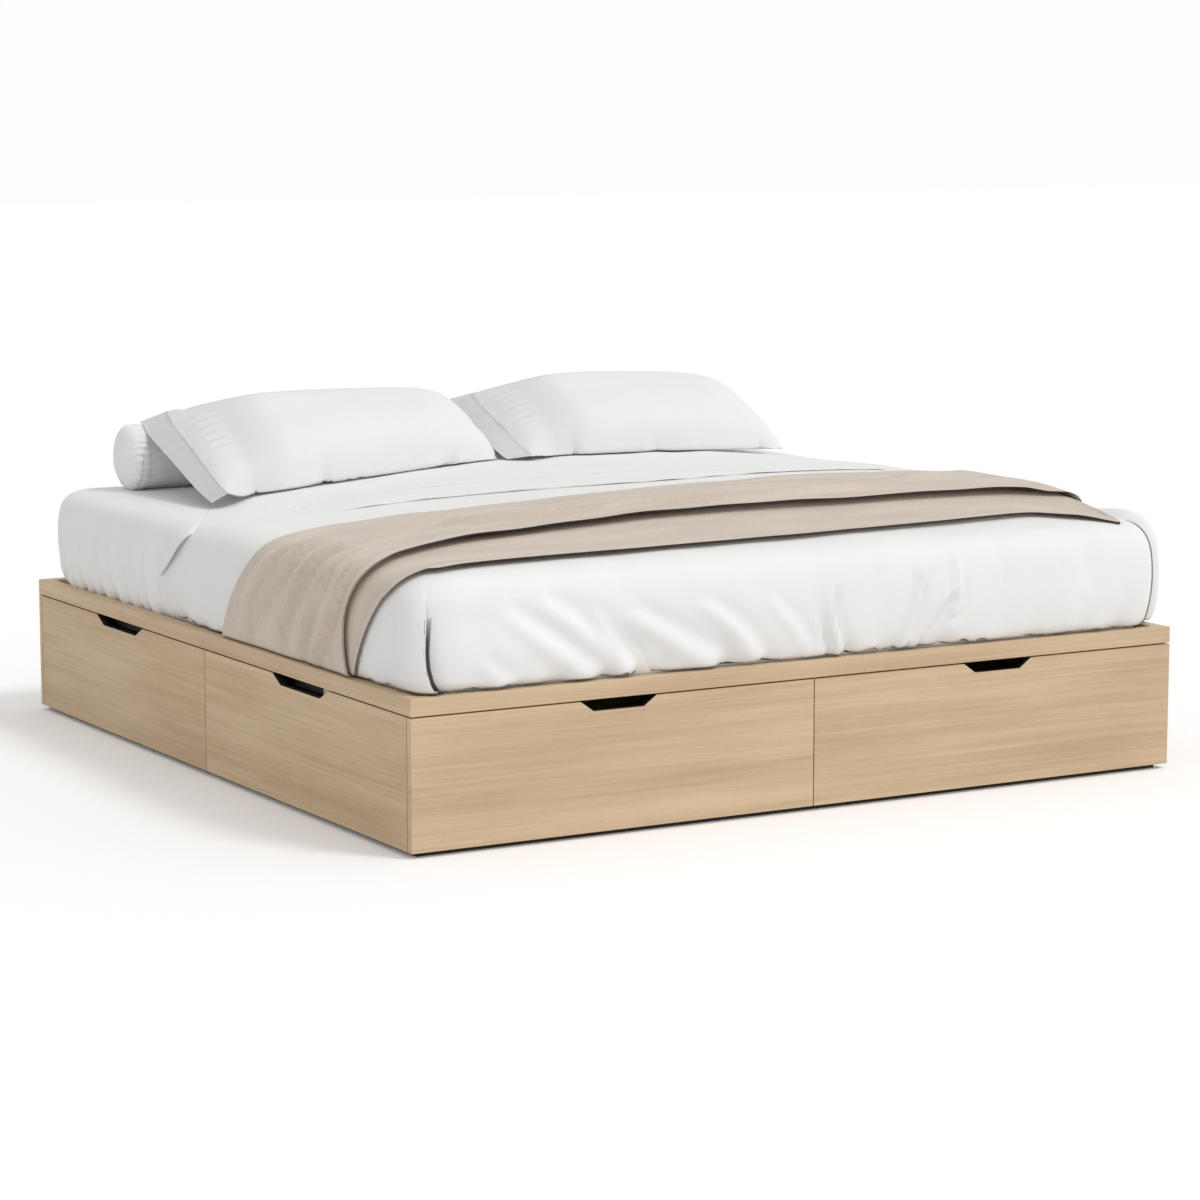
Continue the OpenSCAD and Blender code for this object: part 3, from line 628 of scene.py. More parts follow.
def cloth_mesh(name, points, faces, chart, material, **numbers):
    piece = new_piece(name, points, faces)
    mesh = piece.data
    layer = mesh.uv_layers.new(name="cloth")
    flat = chart[np.array([loop.vertex_index for loop in mesh.loops])]
    layer.data.foreach_set("uv", flat.astype(np.float32).ravel())
    for key, values in numbers.items():
        carried = mesh.attributes.new(key, "FLOAT", "POINT")
        carried.data.foreach_set("value", np.asarray(values, np.float32).ravel())
    mesh.materials.append(material)
    mesh.shade_smooth()
    return piece


def only(piece):
    bpy.ops.object.select_all(action="DESELECT")
    bpy.context.view_layer.objects.active = piece
    piece.select_set(True)


def grid_cloth(name, points, chart, material, thickness=0.0, wrap=False, **numbers):
    """points is an array of rows by columns by 3; chart by 2, in metres."""
    rows, columns = points.shape[:2]
    number = np.arange(rows * columns).reshape(rows, columns)
    if wrap:
        number = np.hstack([number, number[:, :1]])
    chart = chart.reshape(-1, 2)
    piece = cloth_mesh(name, points.reshape(-1, 3), quads(number), chart, material, **numbers)
    if thickness:
        wall = piece.modifiers.new("thickness", "SOLIDIFY")
        wall.thickness = thickness
        wall.offset = -1
        wall.use_even_offset = False
        only(piece)
        bpy.ops.object.modifier_apply(modifier=wall.name)
        piece.data.shade_smooth()
    return piece


def hand_over(piece, node):
    """What every soft piece says: it rides on the base and stands for a node."""
    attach(piece, "base")
    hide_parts(node)


def spread(low, *parts):
    """Marks from low on, in parts: (where a part ends, the step in it)."""
    marks = [low]
    for end, step in parts:
        count = max(1, round((end - marks[-1]) / step))
        marks.extend(np.linspace(marks[-1], end, count + 1)[1:])
    return np.array(marks)


def along_line(line, x):
    """The y of a line, given by a few corners, at each x."""
    line = rounded(line, 3)
    return np.interp(x, line[:, 0], line[:, 1])


# %% [markdown]
# ## Mattress in its fitted sheet
#
# The sheet is drawn tight over the top and gathered underneath, so short
# folds rise from the frame boards beside the pillows and fade half way up.
# At the quilt's edge the sheet laps over it, with a dark slit between them.

# %% Mattress
UNDER = SIDE_LENGTH
mattress_x = spread(-CORE_X - UNDER,
                    (-CORE_X - 0.25, 0.01), (-CORE_X - 0.05, 0.005), (-CORE_X, 0.01),
                    (CORE_X, 0.03), (CORE_X + UNDER, 0.01))
mattress_y = spread(-CORE_Y - UNDER,
                    (-CORE_Y, 0.012), (0.05, 0.05), (0.33, 0.005), (CORE_Y, 0.01),
                    (CORE_Y + UNDER, 0.01))
GATHERS = [(0.9, 0.44, 0.88, 0.022), (0.845, 0.4, 0.835, 0.018), (0.79, 0.46, 0.775, 0.022),
           (0.735, 0.42, 0.715, 0.018), (0.68, 0.49, 0.645, 0.026), (0.6, 0.5, 0.55, 0.026),
           (0.52, 0.47, 0.475, 0.022), (0.46, 0.52, 0.41, 0.028), (0.38, 0.5, 0.36, 0.024)]
SLIT = [(-0.972, 0.132), (-0.992, 0.158), (-1.018, 0.184), (-1.05, 0.224), (-1.092, 0.288)]
SLIT_WIDTH = 0.009
SLIT_RISE = 0.019
SLIT_SPREAD = 0.045
GATHER_HEIGHT = 0.0125
flat_x, flat_y = np.meshgrid(mattress_x, mattress_y)
place, _ = on_bed(flat_x, flat_y, 0.0)
height = place[..., 2]
relief = np.zeros_like(height)
for top_y, top_z, low_y, width in GATHERS:
    line = [(top_y, top_z), (0.5 * (top_y + low_y), 0.5 * (top_z + 0.335)), (low_y, 0.325)]
    relief += fold(place[..., 1], height, line, width, GATHER_HEIGHT)
at_side = smooth(CORE_X + 0.02, CORE_X + 0.1, np.abs(flat_x)) * (np.abs(flat_y) < CORE_Y + 0.02)
low_down = smooth(0.44, 0.34, height)
relief = relief * at_side + 0.003 * low_down * waves(place[..., 0] + place[..., 1], height * 0.3, 0.03, 4)
relief += 0.0005 * waves(flat_x, flat_y, 0.35, 5)
relief *= smooth(0.318, 0.335, height)
# the lap: the head's side of the slit runs over the foot's side
left, share, way_u, way_v = near_line(flat_x, flat_y, SLIT)
amount = np.sin(math.pi * share)**0.7 * (share > 0) * (share < 1)
move, rise = lapped(left, SLIT_WIDTH, amount)
rise = rise * np.exp(-(np.maximum(-left, 0) / SLIT_SPREAD)**2)
relief = relief + SLIT_RISE * rise
place, _ = on_bed(flat_x + move * way_u, flat_y + move * way_v, relief)
mattress = grid_cloth("mattress_sheeted", place, np.stack([flat_x, flat_y], -1), linen)
only(mattress)
bpy.ops.object.mode_set(mode="EDIT")
bpy.ops.mesh.select_all(action="DESELECT")
bpy.ops.mesh.select_non_manifold(extend=False, use_boundary=True)
bpy.ops.mesh.edge_face_add()
bpy.ops.object.mode_set(mode="OBJECT")
mattress.data.shade_smooth()
hand_over(mattress, "mattress")

# %% [markdown]
# ## Quilt
#
# One cloth runs down the left side, round the foot and up the right side.
# Folds fan across the foot where it was tucked, and at the near corner the
# side laps over the foot in a pleat: there the cloth runs past the pleat's
# line, turns back under itself and comes out again.

# %% Quilt
QUILT_LIFT = 0.0095
QUILT_THIN = 0.0009
QUILT_THICK = 0.0035
WIDE_FOLD = 0.018
FOOT_FOLDS = [
    ([(-0.783, 0.5), (-0.685, 0.43), (-0.56, 0.345)], 0.028, 0.017),
    ([(-0.697, 0.52), (-0.599, 0.452), (-0.485, 0.35)], 0.03, 0.018),
    ([(-0.571, 0.5), (-0.531, 0.445), (-0.47, 0.365)], 0.022, 0.011),
    ([(-0.48, 0.48), (-0.371, 0.415), (-0.26, 0.35)], 0.028, 0.0165),
    ([(-0.3, 0.49), (-0.215, 0.436), (-0.14, 0.35)], 0.024, 0.013),
    ([(-0.84, 0.405), (-0.772, 0.345)], 0.02, 0.008),
    ([(-0.123, 0.49), (-0.037, 0.4), (0.0, 0.35)], 0.022, 0.009),
    ([(0.044, 0.51), (0.048, 0.427), (0.078, 0.35)], 0.014, 0.011),
    ([(0.0, 0.44), (0.032, 0.35)], 0.014, 0.007),
    ([(0.294, 0.54), (0.285, 0.468), (0.245, 0.355)], 0.013, 0.011),
    ([(0.389, 0.56), (0.397, 0.494), (0.384, 0.42)], 0.012, 0.008),
    ([(0.376, 0.48), (0.321, 0.413), (0.275, 0.355)], 0.016, 0.011),
    ([(0.7, 0.43), (0.715, 0.35)], 0.03, 0.005),
]
# Where the quilt ends towards the head, by how far over the edge it is.
END_AT = np.array([-CORE_X, -0.6, -0.42, -0.26, -0.16, -0.076, 0.0, 0.06, 0.098, 0.138, 0.19,
                   0.262, 0.33])
END_Y = np.array([0.755, 0.755, 0.72, 0.63, 0.53, 0.42, 0.28, 0.17, 0.13, 0.2, 0.288,
                  0.318, 0.21])


def flat_towards_head(flat_x, flat_y):
    """How high the quilt lies: it thins out to nothing at its head edge."""
    before = np.interp(np.abs(flat_x) - CORE_X, END_AT, END_Y) - flat_y
    return QUILT_LIFT - (QUILT_LIFT - QUILT_THIN) * smooth(0.19, 0.0, before)


# Each corner's lap, by how far over the edge it is: where its line runs
# across the corner, how far the lap has opened, and how high it stands.
NEAR_LAP = ([0.1, 0.135, 0.165, 0.233, 0.265, 0.293, 0.317, HEM],
            [0.03, 0.038, 0.044, 0.05, 0.062, 0.092, 0.15, 0.19],
            [0.0, 0.5, 0.88, 1.0, 1.0, 1.0, 1.0, 1.0],
            [0.008, 0.01, 0.0125, 0.018, 0.02, 0.021, 0.021, 0.021])
FAR_LAP = ([0.03, 0.055, 0.08, 0.2, 0.3, HEM],
           [0.004, 0.008, 0.014, 0.036, 0.05, 0.05],
           [0.0, 0.7, 1.0, 1.0, 1.0, 1.0],
           [0.007, 0.007, 0.007, 0.007, 0.007, 0.007])
LAP_WIDTH = 0.01


def side_flare(flat_x, flat_y):
    """On the right the cloth stands off the bed's side, next to the foot."""
    over_x, over_y = flat_x - CORE_X, -flat_y - CORE_Y
    past_corner = smooth(0.66, 0.42, over_y / np.maximum(over_x, 1e-6))
    hem = 1 - 0.35 * smooth(0.27, 0.33, over_x)
    return 0.036 * smooth(0.03, 0.1, over_x) * past_corner * smooth(-0.78, -0.92, flat_y) * hem


def corner_lap(over_first, over_second, lap):
    """At a corner the first side's cloth laps over the second's. Gives both
    distances over the edge, the rise, how far across the lap each point is,
    and how far the lap has opened there."""
    over = np.maximum(np.maximum(over_first, over_second), 1e-6)
    round_it = over_second - over_first
    width = LAP_WIDTH * 2 * over / 0.18
    left = round_it - np.interp(over, lap[0], lap[1]) + 1.2 * width
    opened = np.interp(over, lap[0], lap[2]) * (over_first > -0.2)
    move, rise = lapped(left, width, opened)
    rise = np.interp(over, lap[0], lap[3]) * rise * np.exp(-(np.maximum(-left, 0) / (6.0 * width))**2)
    dip = opened * 0.006 * np.exp(-np.maximum(left, 0) / (3.5 * width))
    dip = dip * (left > 0) * smooth(0, width, left)
    moved = round_it + move
    near = (opened > 0) & (np.abs(left) < 12 * width)
    new_second = np.where(near, over + np.minimum(moved, 0), over_second)
    new_first = np.where(near, over - np.maximum(moved, 0), over_first)
    return new_first, new_second, np.where(near, rise - dip, 0), np.clip(left / width, -9, 9), opened


quilt_x = spread(-CORE_X - HEM, (-CORE_X, 0.0065), (CORE_X, 0.0125), (CORE_X + HEM, 0.0065))
quilt_y = spread(-CORE_Y - HEM, (-CORE_Y, 0.0065), (0.0, 0.018))
end_share = np.linspace(0, 1, 44)[1:]
end_y = np.interp(np.abs(quilt_x) - CORE_X, END_AT, END_Y)
flat_x, flat_y = np.meshgrid(quilt_x, quilt_y)
flat_y = np.vstack([flat_y, end_share[:, None] * end_y[None, :]])
flat_x = np.vstack([flat_x, np.repeat(quilt_x[None, :], len(end_share), 0)])
place, _ = on_bed(flat_x, flat_y, QUILT_LIFT)
across, height = place[..., 0], place[..., 2]
at_foot = smooth(0.03, 0.1, -flat_y - CORE_Y)
past_lap = smooth(-0.905, -0.84, across)
relief = np.zeros_like(height)
for line, width, rise in FOOT_FOLDS:
    # wide folds lie flatter than narrow ones
    rise *= 0.64 if width > WIDE_FOLD else 1.15
    relief += at_foot * past_lap * fold(across, height, line, width, rise, 0.75)
# the foot bellies out at its corners, over the frame board
belly = np.exp(-((across + 0.78) / 0.16)**2) + 0.35 * np.exp(-((across - 0.8) / 0.2)**2)
relief += at_foot * 0.014 * belly * smooth(0.5, 0.4, height) * smooth(0.335, 0.36, height)
relief += at_foot * 0.0012 * waves(across, height * 0.4, 0.1, 11)
relief += 0.001 * waves(flat_x, flat_y, 0.28, 12) * (1 - at_foot) * smooth(-0.1, -0.25, flat_y)
crumpled = smooth(0.16, 0.0, np.hypot(flat_x + 0.72, (flat_y - 0.17) * 0.8))
relief += 0.0016 * crumpled * waves(flat_x + 0.4 * flat_y, flat_y, 0.045, 15)
# the hem isn't straight: it puckers over the frame boards
hem_wave = waves(across + place[..., 1], 0 * across, 0.11, 13)
relief += 0.0035 * smooth(0.4, 0.345, height) * hem_wave
over_left, over_foot, near_rise, near_across, near_open = corner_lap(
    -flat_x - CORE_X, -flat_y - CORE_Y, NEAR_LAP)
over_foot, over_right, far_rise, far_across, far_open = corner_lap(
    over_foot, -over_left - 2 * CORE_X, FAR_LAP)
pleat_x = np.where(flat_x < 0, -CORE_X - over_left, CORE_X + over_right)
pleat_y = -CORE_Y - over_foot
rise = np.where(flat_x < 0, near_rise, far_rise)
# the points carry how far across each lap they are, which places the painted shadow under the lap's edge
laps = {"near_across": near_across, "near_open": near_open, "far_across": far_across, "far_open": far_open}
# it lies down at its head edge, and flares off the bed past the right corner
lying = flat_towards_head(flat_x, flat_y)
relief = relief * smooth(0.0, 0.05, end_y[None, :] - flat_y) + side_flare(flat_x, flat_y)
ragged = 0.007 * smooth(0.4, 1.4, waves(across + place[..., 1], 0 * across, 0.05, 14))
place, _ = on_bed(pleat_x, pleat_y, lying + relief + rise)
place[..., 2] = np.maximum(place[..., 2], RIM_TOP + 0.006 + ragged)
quilt = grid_cloth("quilt_draped", place, np.stack([flat_x, flat_y], -1), quilt_linen, QUILT_THICK, **laps)
hand_over(quilt, "quilt")


# %% [markdown]
# ## Throw
#
# The throw is one cloth, folded lengthways, and hangs down to the frame
# boards on both sides. Its fold is at the head edge. The upper layer ends
# short of the lower one, which shows as a strip at the foot. Both free edges
# stand a little off the bed, with a dark line of shadow under them, made
# darker by painted shadow along each edge.

# %% Throw
THROW_LOW = QUILT_LIFT + 0.0055
THROW_STEP = 0.0075
THROW_THICK = 0.0035
EDGE_LIFT = 0.0075
FOOT_EDGE = [(-1.23, -0.715), (-1.146, -0.784), (-1.042, -0.868), (-0.962, -0.955), (-0.918, -0.985),
             (-0.81, -0.948), (-0.5, -0.936), (0.15, -0.918), (0.57, -0.892), (0.714, -0.882),
             (0.766, -0.914), (0.81, -0.938), (0.842, -0.958), (0.866, -0.978), (0.886, -0.996),
             (0.9, -0.975), (0.908, -0.9), (0.916, -0.83), (0.935, -0.785), (1.00, -0.765),
             (1.23, -0.745)]
MID_EDGE = [(-1.23, -0.738), (-1.074, -0.75), (-1.01, -0.782), (-0.946, -0.838), (-0.886, -0.79),
            (-0.778, -0.712), (-0.662, -0.67), (-0.53, -0.666), (-0.174, -0.7), (0.11, -0.738),
            (0.5, -0.73), (0.774, -0.726), (0.89, -0.76), (0.96, -0.745), (1.06, -0.665), (1.23, -0.62)]
HEAD_EDGE = [(-1.23, -0.035), (-1.15, -0.112), (-1.058, -0.188), (-0.978, -0.285), (-0.93, -0.325),
             (-0.81, -0.268), (-0.63, -0.236), (-0.33, -0.304), (-0.05, -0.364), (0.162, -0.366),
             (0.406, -0.324), (0.6, -0.34), (0.85, -0.36), (0.95, -0.33), (1.23, -0.2)]
VALLEY = [(-0.8, -0.47), (-0.678, -0.444), (-0.606, -0.452), (-0.514, -0.496), (-0.302, -0.552),
          (-0.086, -0.616), (0.046, -0.652), (0.41, -0.642), (0.52, -0.6), (0.66, -0.5), (0.78, -0.45)]
HEAD_ROLL = [(-0.97, -0.335), (-0.902, -0.352), (-0.862, -0.354), (-0.75, -0.305), (-0.62, -0.262)]
SIDE_WRINKLES = [
    ([(-0.88, -0.5), (-0.982, -0.468), (-1.034, -0.392), (-1.074, -0.324), (-1.135, -0.27)],
     0.017, 0.015),
    ([(-0.89, -0.6), (-0.998, -0.548), (-1.046, -0.492), (-1.14, -0.41)], 0.018, 0.016),
    ([(-0.93, -0.762), (-1.026, -0.72), (-1.102, -0.644), (-1.17, -0.57)], 0.017, 0.016),
    ([(-0.94, -0.4), (-1.01, -0.33), (-1.1, -0.22)], 0.016, 0.011),
    ([(-0.96, -0.66), (-1.06, -0.6), (-1.17, -0.48)], 0.015, 0.012),
]
throw_x = spread(-CORE_X - HEM, (-0.78, 0.008), (0.78, 0.018), (CORE_X + HEM, 0.008))
foot_edge, mid_edge, head_edge = (along_line(line, throw_x) for line in (FOOT_EDGE, MID_EDGE, HEAD_EDGE))


def throw_rows(start, end, marks):
    return start[None, :] + (end - start)[None, :] * marks[:, None]


turns = np.linspace(-0.5, 0.5, 7)[1:-1] * math.pi
low_y = throw_rows(foot_edge, head_edge, spread(0, (0.1, 0.0091), (0.4, 0.012), (1, 0.0286)))
bend_y = head_edge[None, :] + (THROW_STEP / 2) * np.cos(turns)[:, None]
top_y = throw_rows(head_edge, mid_edge, spread(0, (0.3, 0.0273), (0.9, 0.014), (1, 0.0143)))
flat_y = np.vstack([low_y, bend_y, top_y])
flat_x = np.repeat(throw_x[None, :], len(flat_y), 0)
layer = np.vstack([np.zeros_like(low_y), np.repeat(0.5 + 0.5 * np.sin(turns)[:, None], len(throw_x), 1),
                   np.ones_like(top_y)])
lift = THROW_LOW + THROW_STEP * layer
over = np.abs(flat_x) - CORE_X
off_foot, off_mid = flat_y - foot_edge[None, :], flat_y - mid_edge[None, :]
off_head = head_edge[None, :] - flat_y
# both layers rise a little at their free edges, and hang close at the sides
free = np.where(layer < 0.5, np.exp(-(off_foot / 0.042)**2), np.exp(-(off_mid / 0.036)**2))
gap = 0.55 + 0.45 * smooth(0.2, 0.05, over)
relief = EDGE_LIFT * free * gap * (1 - 0.9 * smooth(0.8, 0.88, flat_x))
close = smooth(0.02, 0.12, off_head) * smooth(0.0, 0.1, off_mid)
relief += layer * close * fold(flat_x, flat_y, VALLEY, 0.026, 0.0165, 0.75, 0.25, 0.15)
relief += layer * smooth(0.0, 0.03, off_head) * fold(flat_x, flat_y, HEAD_ROLL, 0.022, 0.005, 0.5, 0.2, 0.3)
for line, width, rise in SIDE_WRINKLES:
    relief += layer * smooth(0.02, 0.1, off_head) * fold(flat_x, flat_y, line, width, rise, 0.6, 0.25, 0.3)
relief += 0.0013 * waves(flat_x, flat_y, 0.22, 21) * (0.2 + 0.8 * layer)
relief += side_flare(flat_x, flat_y)
place, _ = on_bed(flat_x, flat_y, lift + relief)
place[..., 2] = np.maximum(place[..., 2], RIM_TOP + 0.0065)
row_y = flat_y.mean(1)
cloth_v = np.cumsum(np.abs(np.diff(row_y, prepend=row_y[0])) + 0.0008)
chart = np.stack([flat_x, np.repeat(cloth_v[:, None], len(throw_x), 1)], -1)
TAUPE_LIGHT = rgb(222, 208, 194)
TAUPE_DARK = rgb(196, 182, 168)
# painted shadow along the throw's free edges, over the gaps under them
FREE_EDGE_PAINTED_SHADOW = rgb(46, 40, 35)
taupe = woven("taupe_wool", TAUPE_LIGHT, TAUPE_DARK, 0.003, 0.3, 0.0005, marks=[
    (beyond(1, -1, -float(cloth_v[0]), 0.003, 0.7), FREE_EDGE_PAINTED_SHADOW, 0),
    (beyond(1, 1, float(cloth_v[-1]), 0.0016, 0.3), FREE_EDGE_PAINTED_SHADOW, 0)],
    brushed=(3, 16))
print("throw is cut", round(2 * (CORE_X + HEM), 2), "by", round(float(cloth_v[-1]), 2), "m")
throw = grid_cloth("throw_folded", place, chart, taupe, THROW_THICK)
hand_over(throw, "throw")

# %% [markdown]
# ## The sheet's turned edge
#
# Under the pillows the top sheet is turned back over the quilt. Two faint
# lines show it: the turned fold, and the stitched line of its wide hem, which
# is a dent with painted shade along it.

# %% Sheet cuff
CUFF_FOLD = [(-0.87, -0.05), (-0.802, -0.04), (-0.722, -0.006), (-0.634, 0.022), (-0.53, 0.03),
             (-0.402, 0.012), (-0.106, -0.096), (0.022, -0.15), (0.182, -0.156), (0.37, -0.12),
             (0.75, -0.124), (0.88, -0.13)]
CUFF_SEAM = [(-0.87, -0.04), (-0.8, 0.02), (-0.678, 0.144), (-0.57, 0.204), (-0.442, 0.21),
             (-0.306, 0.192), (-0.014, 0.068), (0.158, 0.078), (0.318, 0.066), (0.6, 0.06), (0.88, 0.05)]
CUFF_END = 0.56
SEAM_AT = 0.2
# painted shade along the stitched line of the hem
SEAM_PAINTED_SHADE = rgb(186, 186, 186)
CUFF_THICK = 0.0025
cuff_linen = woven("hemmed_linen", **LINEN, marks=[(stitched_at(SEAM_AT, 0.006), SEAM_PAINTED_SHADE, 3)])
cuff_x = np.linspace(-0.862, 0.862, 130)
fold_y, seam_y = along_line(CUFF_FOLD, cuff_x), along_line(CUFF_SEAM, cuff_x)
first, second = spread(0, (0.25, 0.0357), (1, 0.05)), spread(0, (1, 0.04))[1:]
cuff_end = np.minimum(CUFF_END, np.interp(np.abs(cuff_x) - CORE_X, END_AT, END_Y) - 0.015)
seam_y = np.minimum(seam_y, cuff_end - 0.02)
flat_y = np.vstack([throw_rows(fold_y, seam_y, first), throw_rows(seam_y, cuff_end, second)])
chart_v = np.concatenate([first * SEAM_AT, SEAM_AT + second * 0.42])
flat_x = np.repeat(cuff_x[None, :], len(flat_y), 0)
at_end = smooth(0.8, 0.56, -flat_x) * smooth(0.864, 0.8, flat_x)
edge = np.exp(-((flat_y - fold_y[None, :]) / 0.018)**2)
lift = flat_towards_head(flat_x, flat_y) - 0.0014 + (0.0036 + 0.0014 * edge) * at_end
lift += 0.0008 * waves(flat_x, flat_y, 0.16, 31) * at_end
lift -= 0.0015 * np.exp(-((flat_y - seam_y[None, :]) / 0.006)**2) * at_end
place, _ = on_bed(flat_x, flat_y, lift)
chart = np.stack([flat_x, np.repeat(chart_v[:, None], len(cuff_x), 1)], -1)
cuff = grid_cloth("sheet_cuff_turned", place, chart, cuff_linen, CUFF_THICK)
hand_over(cuff, "sheet_cuff")


# %% [markdown]
# ## Pillows
#
# A pillow in its case is two cloths sewn together and blown up: the cloth
# can't stretch, so it wrinkles beside the seams. Blender's cloth does just
# that under pressure. The case's open end is a flat strip past the left
# seam, on which the air doesn't press. The pillow is blown up lying flat,
# then laid between its four corners, clear of the bed and of the bolster.

# %% Blow up a pillow
CASE_WIDTH = 0.9
CASE_DEPTH = 0.44
FLAP = 0.08
IN_AIR = {"quality": 6, "mass": 0.25, "tension_stiffness": 60, "compression_stiffness": 60,
          "shear_stiffness": 8, "bending_stiffness": 0.4, "use_pressure": True,
          "uniform_pressure_force": 1.0, "vertex_group_pressure": "air"}


def pillow_grid(width, depth, strip, step):
    """Two cloths, one over the other, joined round the edge, and the strip."""
    columns, rows, more = round(width / step), round(depth / step), round(strip / step)
    u, v = np.meshgrid(np.linspace(-1, 1, columns + 1), np.linspace(-1, 1, rows + 1))
    bulge = 0.012 * (1 - u**8) * (1 - v**8)
    round_off = 1 - 0.03 * u**4 * v**4
    points = np.stack([u * width / 2 * round_off, v * depth / 2 * round_off, bulge], -1)
    top = np.arange(u.size).reshape(u.shape)
    rim = np.zeros(u.shape, bool)
    rim[[0, -1], :] = True
    rim[:, [0, -1]] = True
    under = top.copy()
    under[~rim] = u.size + np.arange((~rim).sum())
    below = points[~rim] * [1, 1, -1]
    body = u.size + len(below)
    seam = points[:, 0]
    flap = np.stack([seam + [-strip * k / more, 0, 0] for k in range(more, 0, -1)], 1)
    flap_number = body + np.arange(flap.shape[0] * more).reshape(flap.shape[0], more)
    flap_number = np.hstack([flap_number, top[:, :1]])
    points = np.vstack([points.reshape(-1, 3), below, flap.reshape(-1, 3)])
    faces = np.vstack([quads(top), quads(under)[:, ::-1], quads(flap_number)])
    return points, faces, body, u.shape


def blow_up(name, step, frames, seed):
    points, faces, body_count, rows = pillow_grid(CASE_WIDTH, CASE_DEPTH, FLAP, step)
    random = np.random.default_rng(seed)
    points[:, 2] += random.normal(0, 0.0006, len(points))
    body = new_piece(name, points, faces)
    body.vertex_groups.new(name="air").add(list(range(body_count)), 1.0, "REPLACE")
    cloth = body.modifiers.new("air", "CLOTH")
    for key, value in IN_AIR.items():
        setattr(cloth.settings, key, value)
    cloth.settings.effector_weights.gravity = 0
    cloth.point_cache.frame_end = frames
    scene = bpy.context.scene
    for number in range(1, frames + 1):
        scene.frame_set(number)
    shape = body.evaluated_get(bpy.context.evaluated_depsgraph_get()).to_mesh()
    result = np.array([vertex.co for vertex in shape.vertices])
    bpy.data.objects.remove(body)
    scene.frame_set(1)
    return points, result, faces, body_count, rows


def calm(grid, rounds, keep):
    """Smooths a grid of points, again and again, but not where keep is 1."""
    for _ in range(rounds):
        near = grid.copy()
        near[1:-1, 1:-1] = (grid[:-2, 1:-1] + grid[2:, 1:-1] + grid[1:-1, :-2] + grid[1:-1, 2:]) / 4
        grid = keep[..., None] * grid + (1 - keep[..., None]) * near
    return grid


# %% Lay a pillow on the bed
# Fine and quick: the grid's step and how many frames the air has.
FINE = (0.008, 30)
CALM_ROUNDS = 70
ABOVE = 0.104
BELOW = 0.04
WEDGE = 0.5
PILLOW_GAP = 0.0032
SEAM_LIFT = 0.0065
SEAM_WRINKLES = [(0.58, 0.4), (0.42, 0.22), (0.26, 0.04), (0.1, -0.14), (-0.06, -0.3), (-0.22, -0.44)]
# painted shade for the flap and the left end of each pillow
OPEN_END_PAINTED_SHADE = rgb(226, 226, 225)
shaded_pillow_linen = woven("shaded_pillow_linen", **SHADED_PILLOW_LINEN, marks=[(towards("open_end"), OPEN_END_PAINTED_SHADE, 0)])
bolster_low, bolster_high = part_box("bolster")
ROLL = (bolster_high.z - bolster_low.z) / 2
ROLL_Y = (bolster_low.y + bolster_high.y) / 2
ROLL_Z = (bolster_low.z + bolster_high.z) / 2


def clear_of_bed(points, gap):
    """Moves points up out of the bed and forwards out of the bolster."""
    floor_at, _ = on_bed(points[:, 0], points[:, 1], QUILT_LIFT + PILLOW_GAP + gap)
    points[:, 2] = np.maximum(points[:, 2], floor_at[:, 2])
    off = points[:, 1:] - [ROLL_Y, ROLL_Z]
    apart = np.linalg.norm(off, axis=1)
    near = (apart < ROLL + gap) & (np.abs(points[:, 0]) < bolster_high.x)
    points[near, 1:] = [ROLL_Y, ROLL_Z] + off[near] * ((ROLL + gap) / apart[near])[:, None]
    return points


def between(first, second, at):
    """From first, where at is -1, to second, where it is 1."""
    return first * (1 - at) / 2 + second * (1 + at) / 2


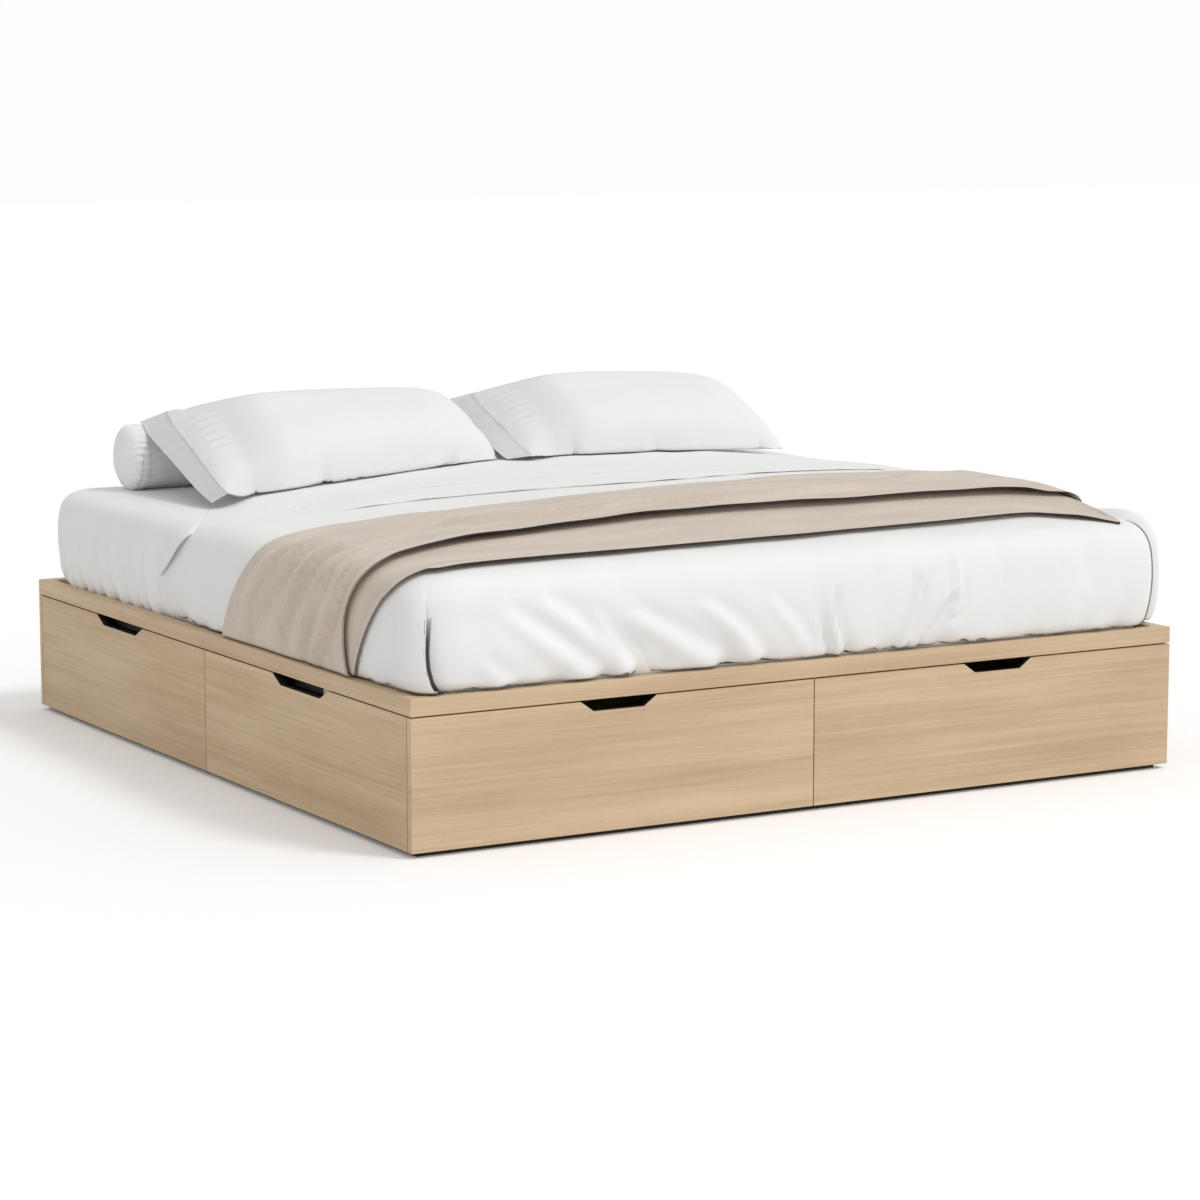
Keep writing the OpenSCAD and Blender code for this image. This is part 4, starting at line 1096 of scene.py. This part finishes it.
def make_pillow(name, node, corners, ear, hem_ways, arch, crown, seed):
    """corners: where the body's seams meet; low left, low right, up left, up
    right. ear: how far the low left corner is drawn out beyond its place.
    hem_ways: from the left seam to the hem, at its low and upper end."""
    step, frames = FINE
    flat, blown, faces, body_count, rows = blow_up(name + "_air", step, frames, seed)
    # the middle of the front is filled tight; the gathers stay beside the seams
    front = rows[0] * rows[1]
    u, v = flat[:front, 0] / CASE_WIDTH * 2, flat[:front, 1] / CASE_DEPTH * 2
    keep = 1 - smooth(0.98, 0.84, np.abs(u)) * smooth(0.96, 0.72, np.abs(v))
    rounds = round(CALM_ROUNDS * (FINE[0] / step)**2)
    blown[:front] = calm(blown[:front].reshape(*rows, 3), rounds, keep.reshape(rows)).reshape(-1, 3)
    body = blown[:body_count]
    size = body.max(0) - body.min(0)
    print(name, "blown to", size.round(3), "with", len(faces), "faces")
    a, b = blown[:, 0] / size[0] * 2, blown[:, 1] / size[1] * 2
    rise = blown[:, 2] / size[2] * 2
    # the flap goes straight on from the seam; past says how far along it is
    seam = np.arange(rows[0]) * rows[1]
    more = (len(blown) - body_count) // rows[0]
    past = np.zeros(len(blown))
    past[body_count:] = np.tile(np.arange(more, 0, -1) / more, rows[0])
    for values in (a, b):
        values[body_count:] = np.repeat(values[seam], more)
    fuller = np.sign(rise) * np.abs(rise)**0.8
    thick = np.where(rise > 0, fuller * ABOVE, fuller * BELOW)
    thick *= np.clip((a + 1) / WEDGE, 0, 1)**0.3
    thick[body_count:] = 0
    low_left, low_right, up_left, up_right = np.array(corners)
    facing = np.cross(low_right - low_left, up_left - low_left)
    facing /= np.linalg.norm(facing)
    on_body, b = a[:, None], b[:, None]
    lower, upper = between(low_left, low_right, on_body), between(up_left, up_right, on_body)
    points = between(lower, upper, b)
    points[:, 2] += (arch * (1 - on_body**2) * (1 + b) / 2)[:, 0]
    points += np.array(ear) * smooth(-0.76, -1.0, on_body) * (1 - b) / 2
    # it is as full as its crown is high
    above = thick * facing[2]
    thick *= ((crown - points[:, 2]) / np.maximum(above, 1e-6))[above > 0.02].min()
    for start, end in SEAM_WRINKLES:
        line = [(-0.93, start), (-0.86, start - 0.03), (-0.74, end)]
        thick += (rise > 0) * fold(a, b[:, 0], line, 0.042, 0.005, 0.8, 0.3, 0.5)
    points += thick[:, None] * facing
    points += past[:, None] * between(*np.array(hem_ways), b)
    # the low seam lies on the bed, but for the corner beside the flap
    floor_at, _ = on_bed(points[:, 0], points[:, 1], QUILT_LIFT + SEAM_LIFT)
    hug = 0.9 * smooth(-0.8, -0.99, b[:, 0]) * (rise > -0.02) * smooth(-1.0, -0.8, a)
    points[:, 2] += (floor_at[:, 2] - points[:, 2]) * hug
    points = clear_of_bed(points, 0.0015)
    # the points carry where the painted shade over the flap and the left end goes
    piece = cloth_mesh(name, points, faces, flat[:, :2], shaded_pillow_linen,
                       open_end=np.maximum(past, smooth(-0.42, -0.92, a)))
    hand_over(piece, node)


make_pillow("pillow_left_filled", "pillow_left", [
    (-0.772, 0.4, 0.6), (0.035, 0.468, 0.65), (-0.761, 0.787, 0.78), (0.06, 0.805, 0.766)],
    (-0.04, -0.105, 0.022),
    [(-0.02, 0.047, -0.026), (-0.033, 0.088, -0.031)], 0.012, 0.828, 41)
make_pillow("pillow_right_filled", "pillow_right", [
    (0.112, 0.462, 0.65), (0.86, 0.39, 0.64), (0.111, 0.778, 0.79), (0.9, 0.805, 0.772)],
    (-0.03, -0.07, 0.01),
    [(-0.04, 0.058, -0.012), (-0.033, 0.077, -0.021)], 0.02, 0.842, 42)

# %% [markdown]
# ## Bolster
#
# A long round roll lies behind the pillows. Its ends are drawn in and
# finished with a gathered band.

# %% Bolster
HALF = bolster_high.x - 0.006
ROLL_RADIUS = 0.0812
BAND_AT = 0.045
PUCKERS = 34
END_LINE = [(0.0, -0.004), (0.02, -0.004), (0.045, 0.0), (0.064, 0.006), (0.0755, 0.014),
            (0.08, 0.021), (0.0815, 0.026), (0.079, 0.03), (0.0812, 0.036), (0.0822, 0.044),
            (0.08, 0.05), (0.0795, 0.056), (0.081, 0.075), (0.0815, 0.11)]
end_line = rounded(END_LINE, 2)
middle = np.linspace(-HALF + 0.13, HALF - 0.13, 110)
along = np.concatenate([-HALF + end_line[:, 1], middle, (HALF - end_line[:, 1])[::-1]])
radius = np.concatenate([end_line[:, 0], np.full(len(middle), ROLL_RADIUS), end_line[::-1, 0]])
angle = np.linspace(0, 2 * math.pi, 145)[:-1]
ring, turn = np.meshgrid(along, angle, indexing="ij")
size = np.repeat(radius[:, None], len(angle), 1)
near_end = smooth(0.075, 0.0, np.abs(np.abs(ring) - (HALF - BAND_AT)))
pucker = near_end * 0.004 * np.cos(turn * PUCKERS + 2.5 * np.sin(turn * 3)) * smooth(0.0, 0.05, size)
crease = 0.0014 * waves(ring * 0.35, turn * 0.08, 0.06, 51)
size = size + (pucker + crease) * smooth(0.0, 0.03, size)
place = np.stack([ring, ROLL_Y + size * np.cos(turn), ROLL_Z + size * np.sin(turn)], -1)
place[..., 2] = np.maximum(place[..., 2], bolster_low.z + 0.0005)
chart = np.stack([ring, turn * 0.082], -1)
bolster = grid_cloth("bolster_filled", place, chart, linen, wrap=True)
hand_over(bolster, "bolster")
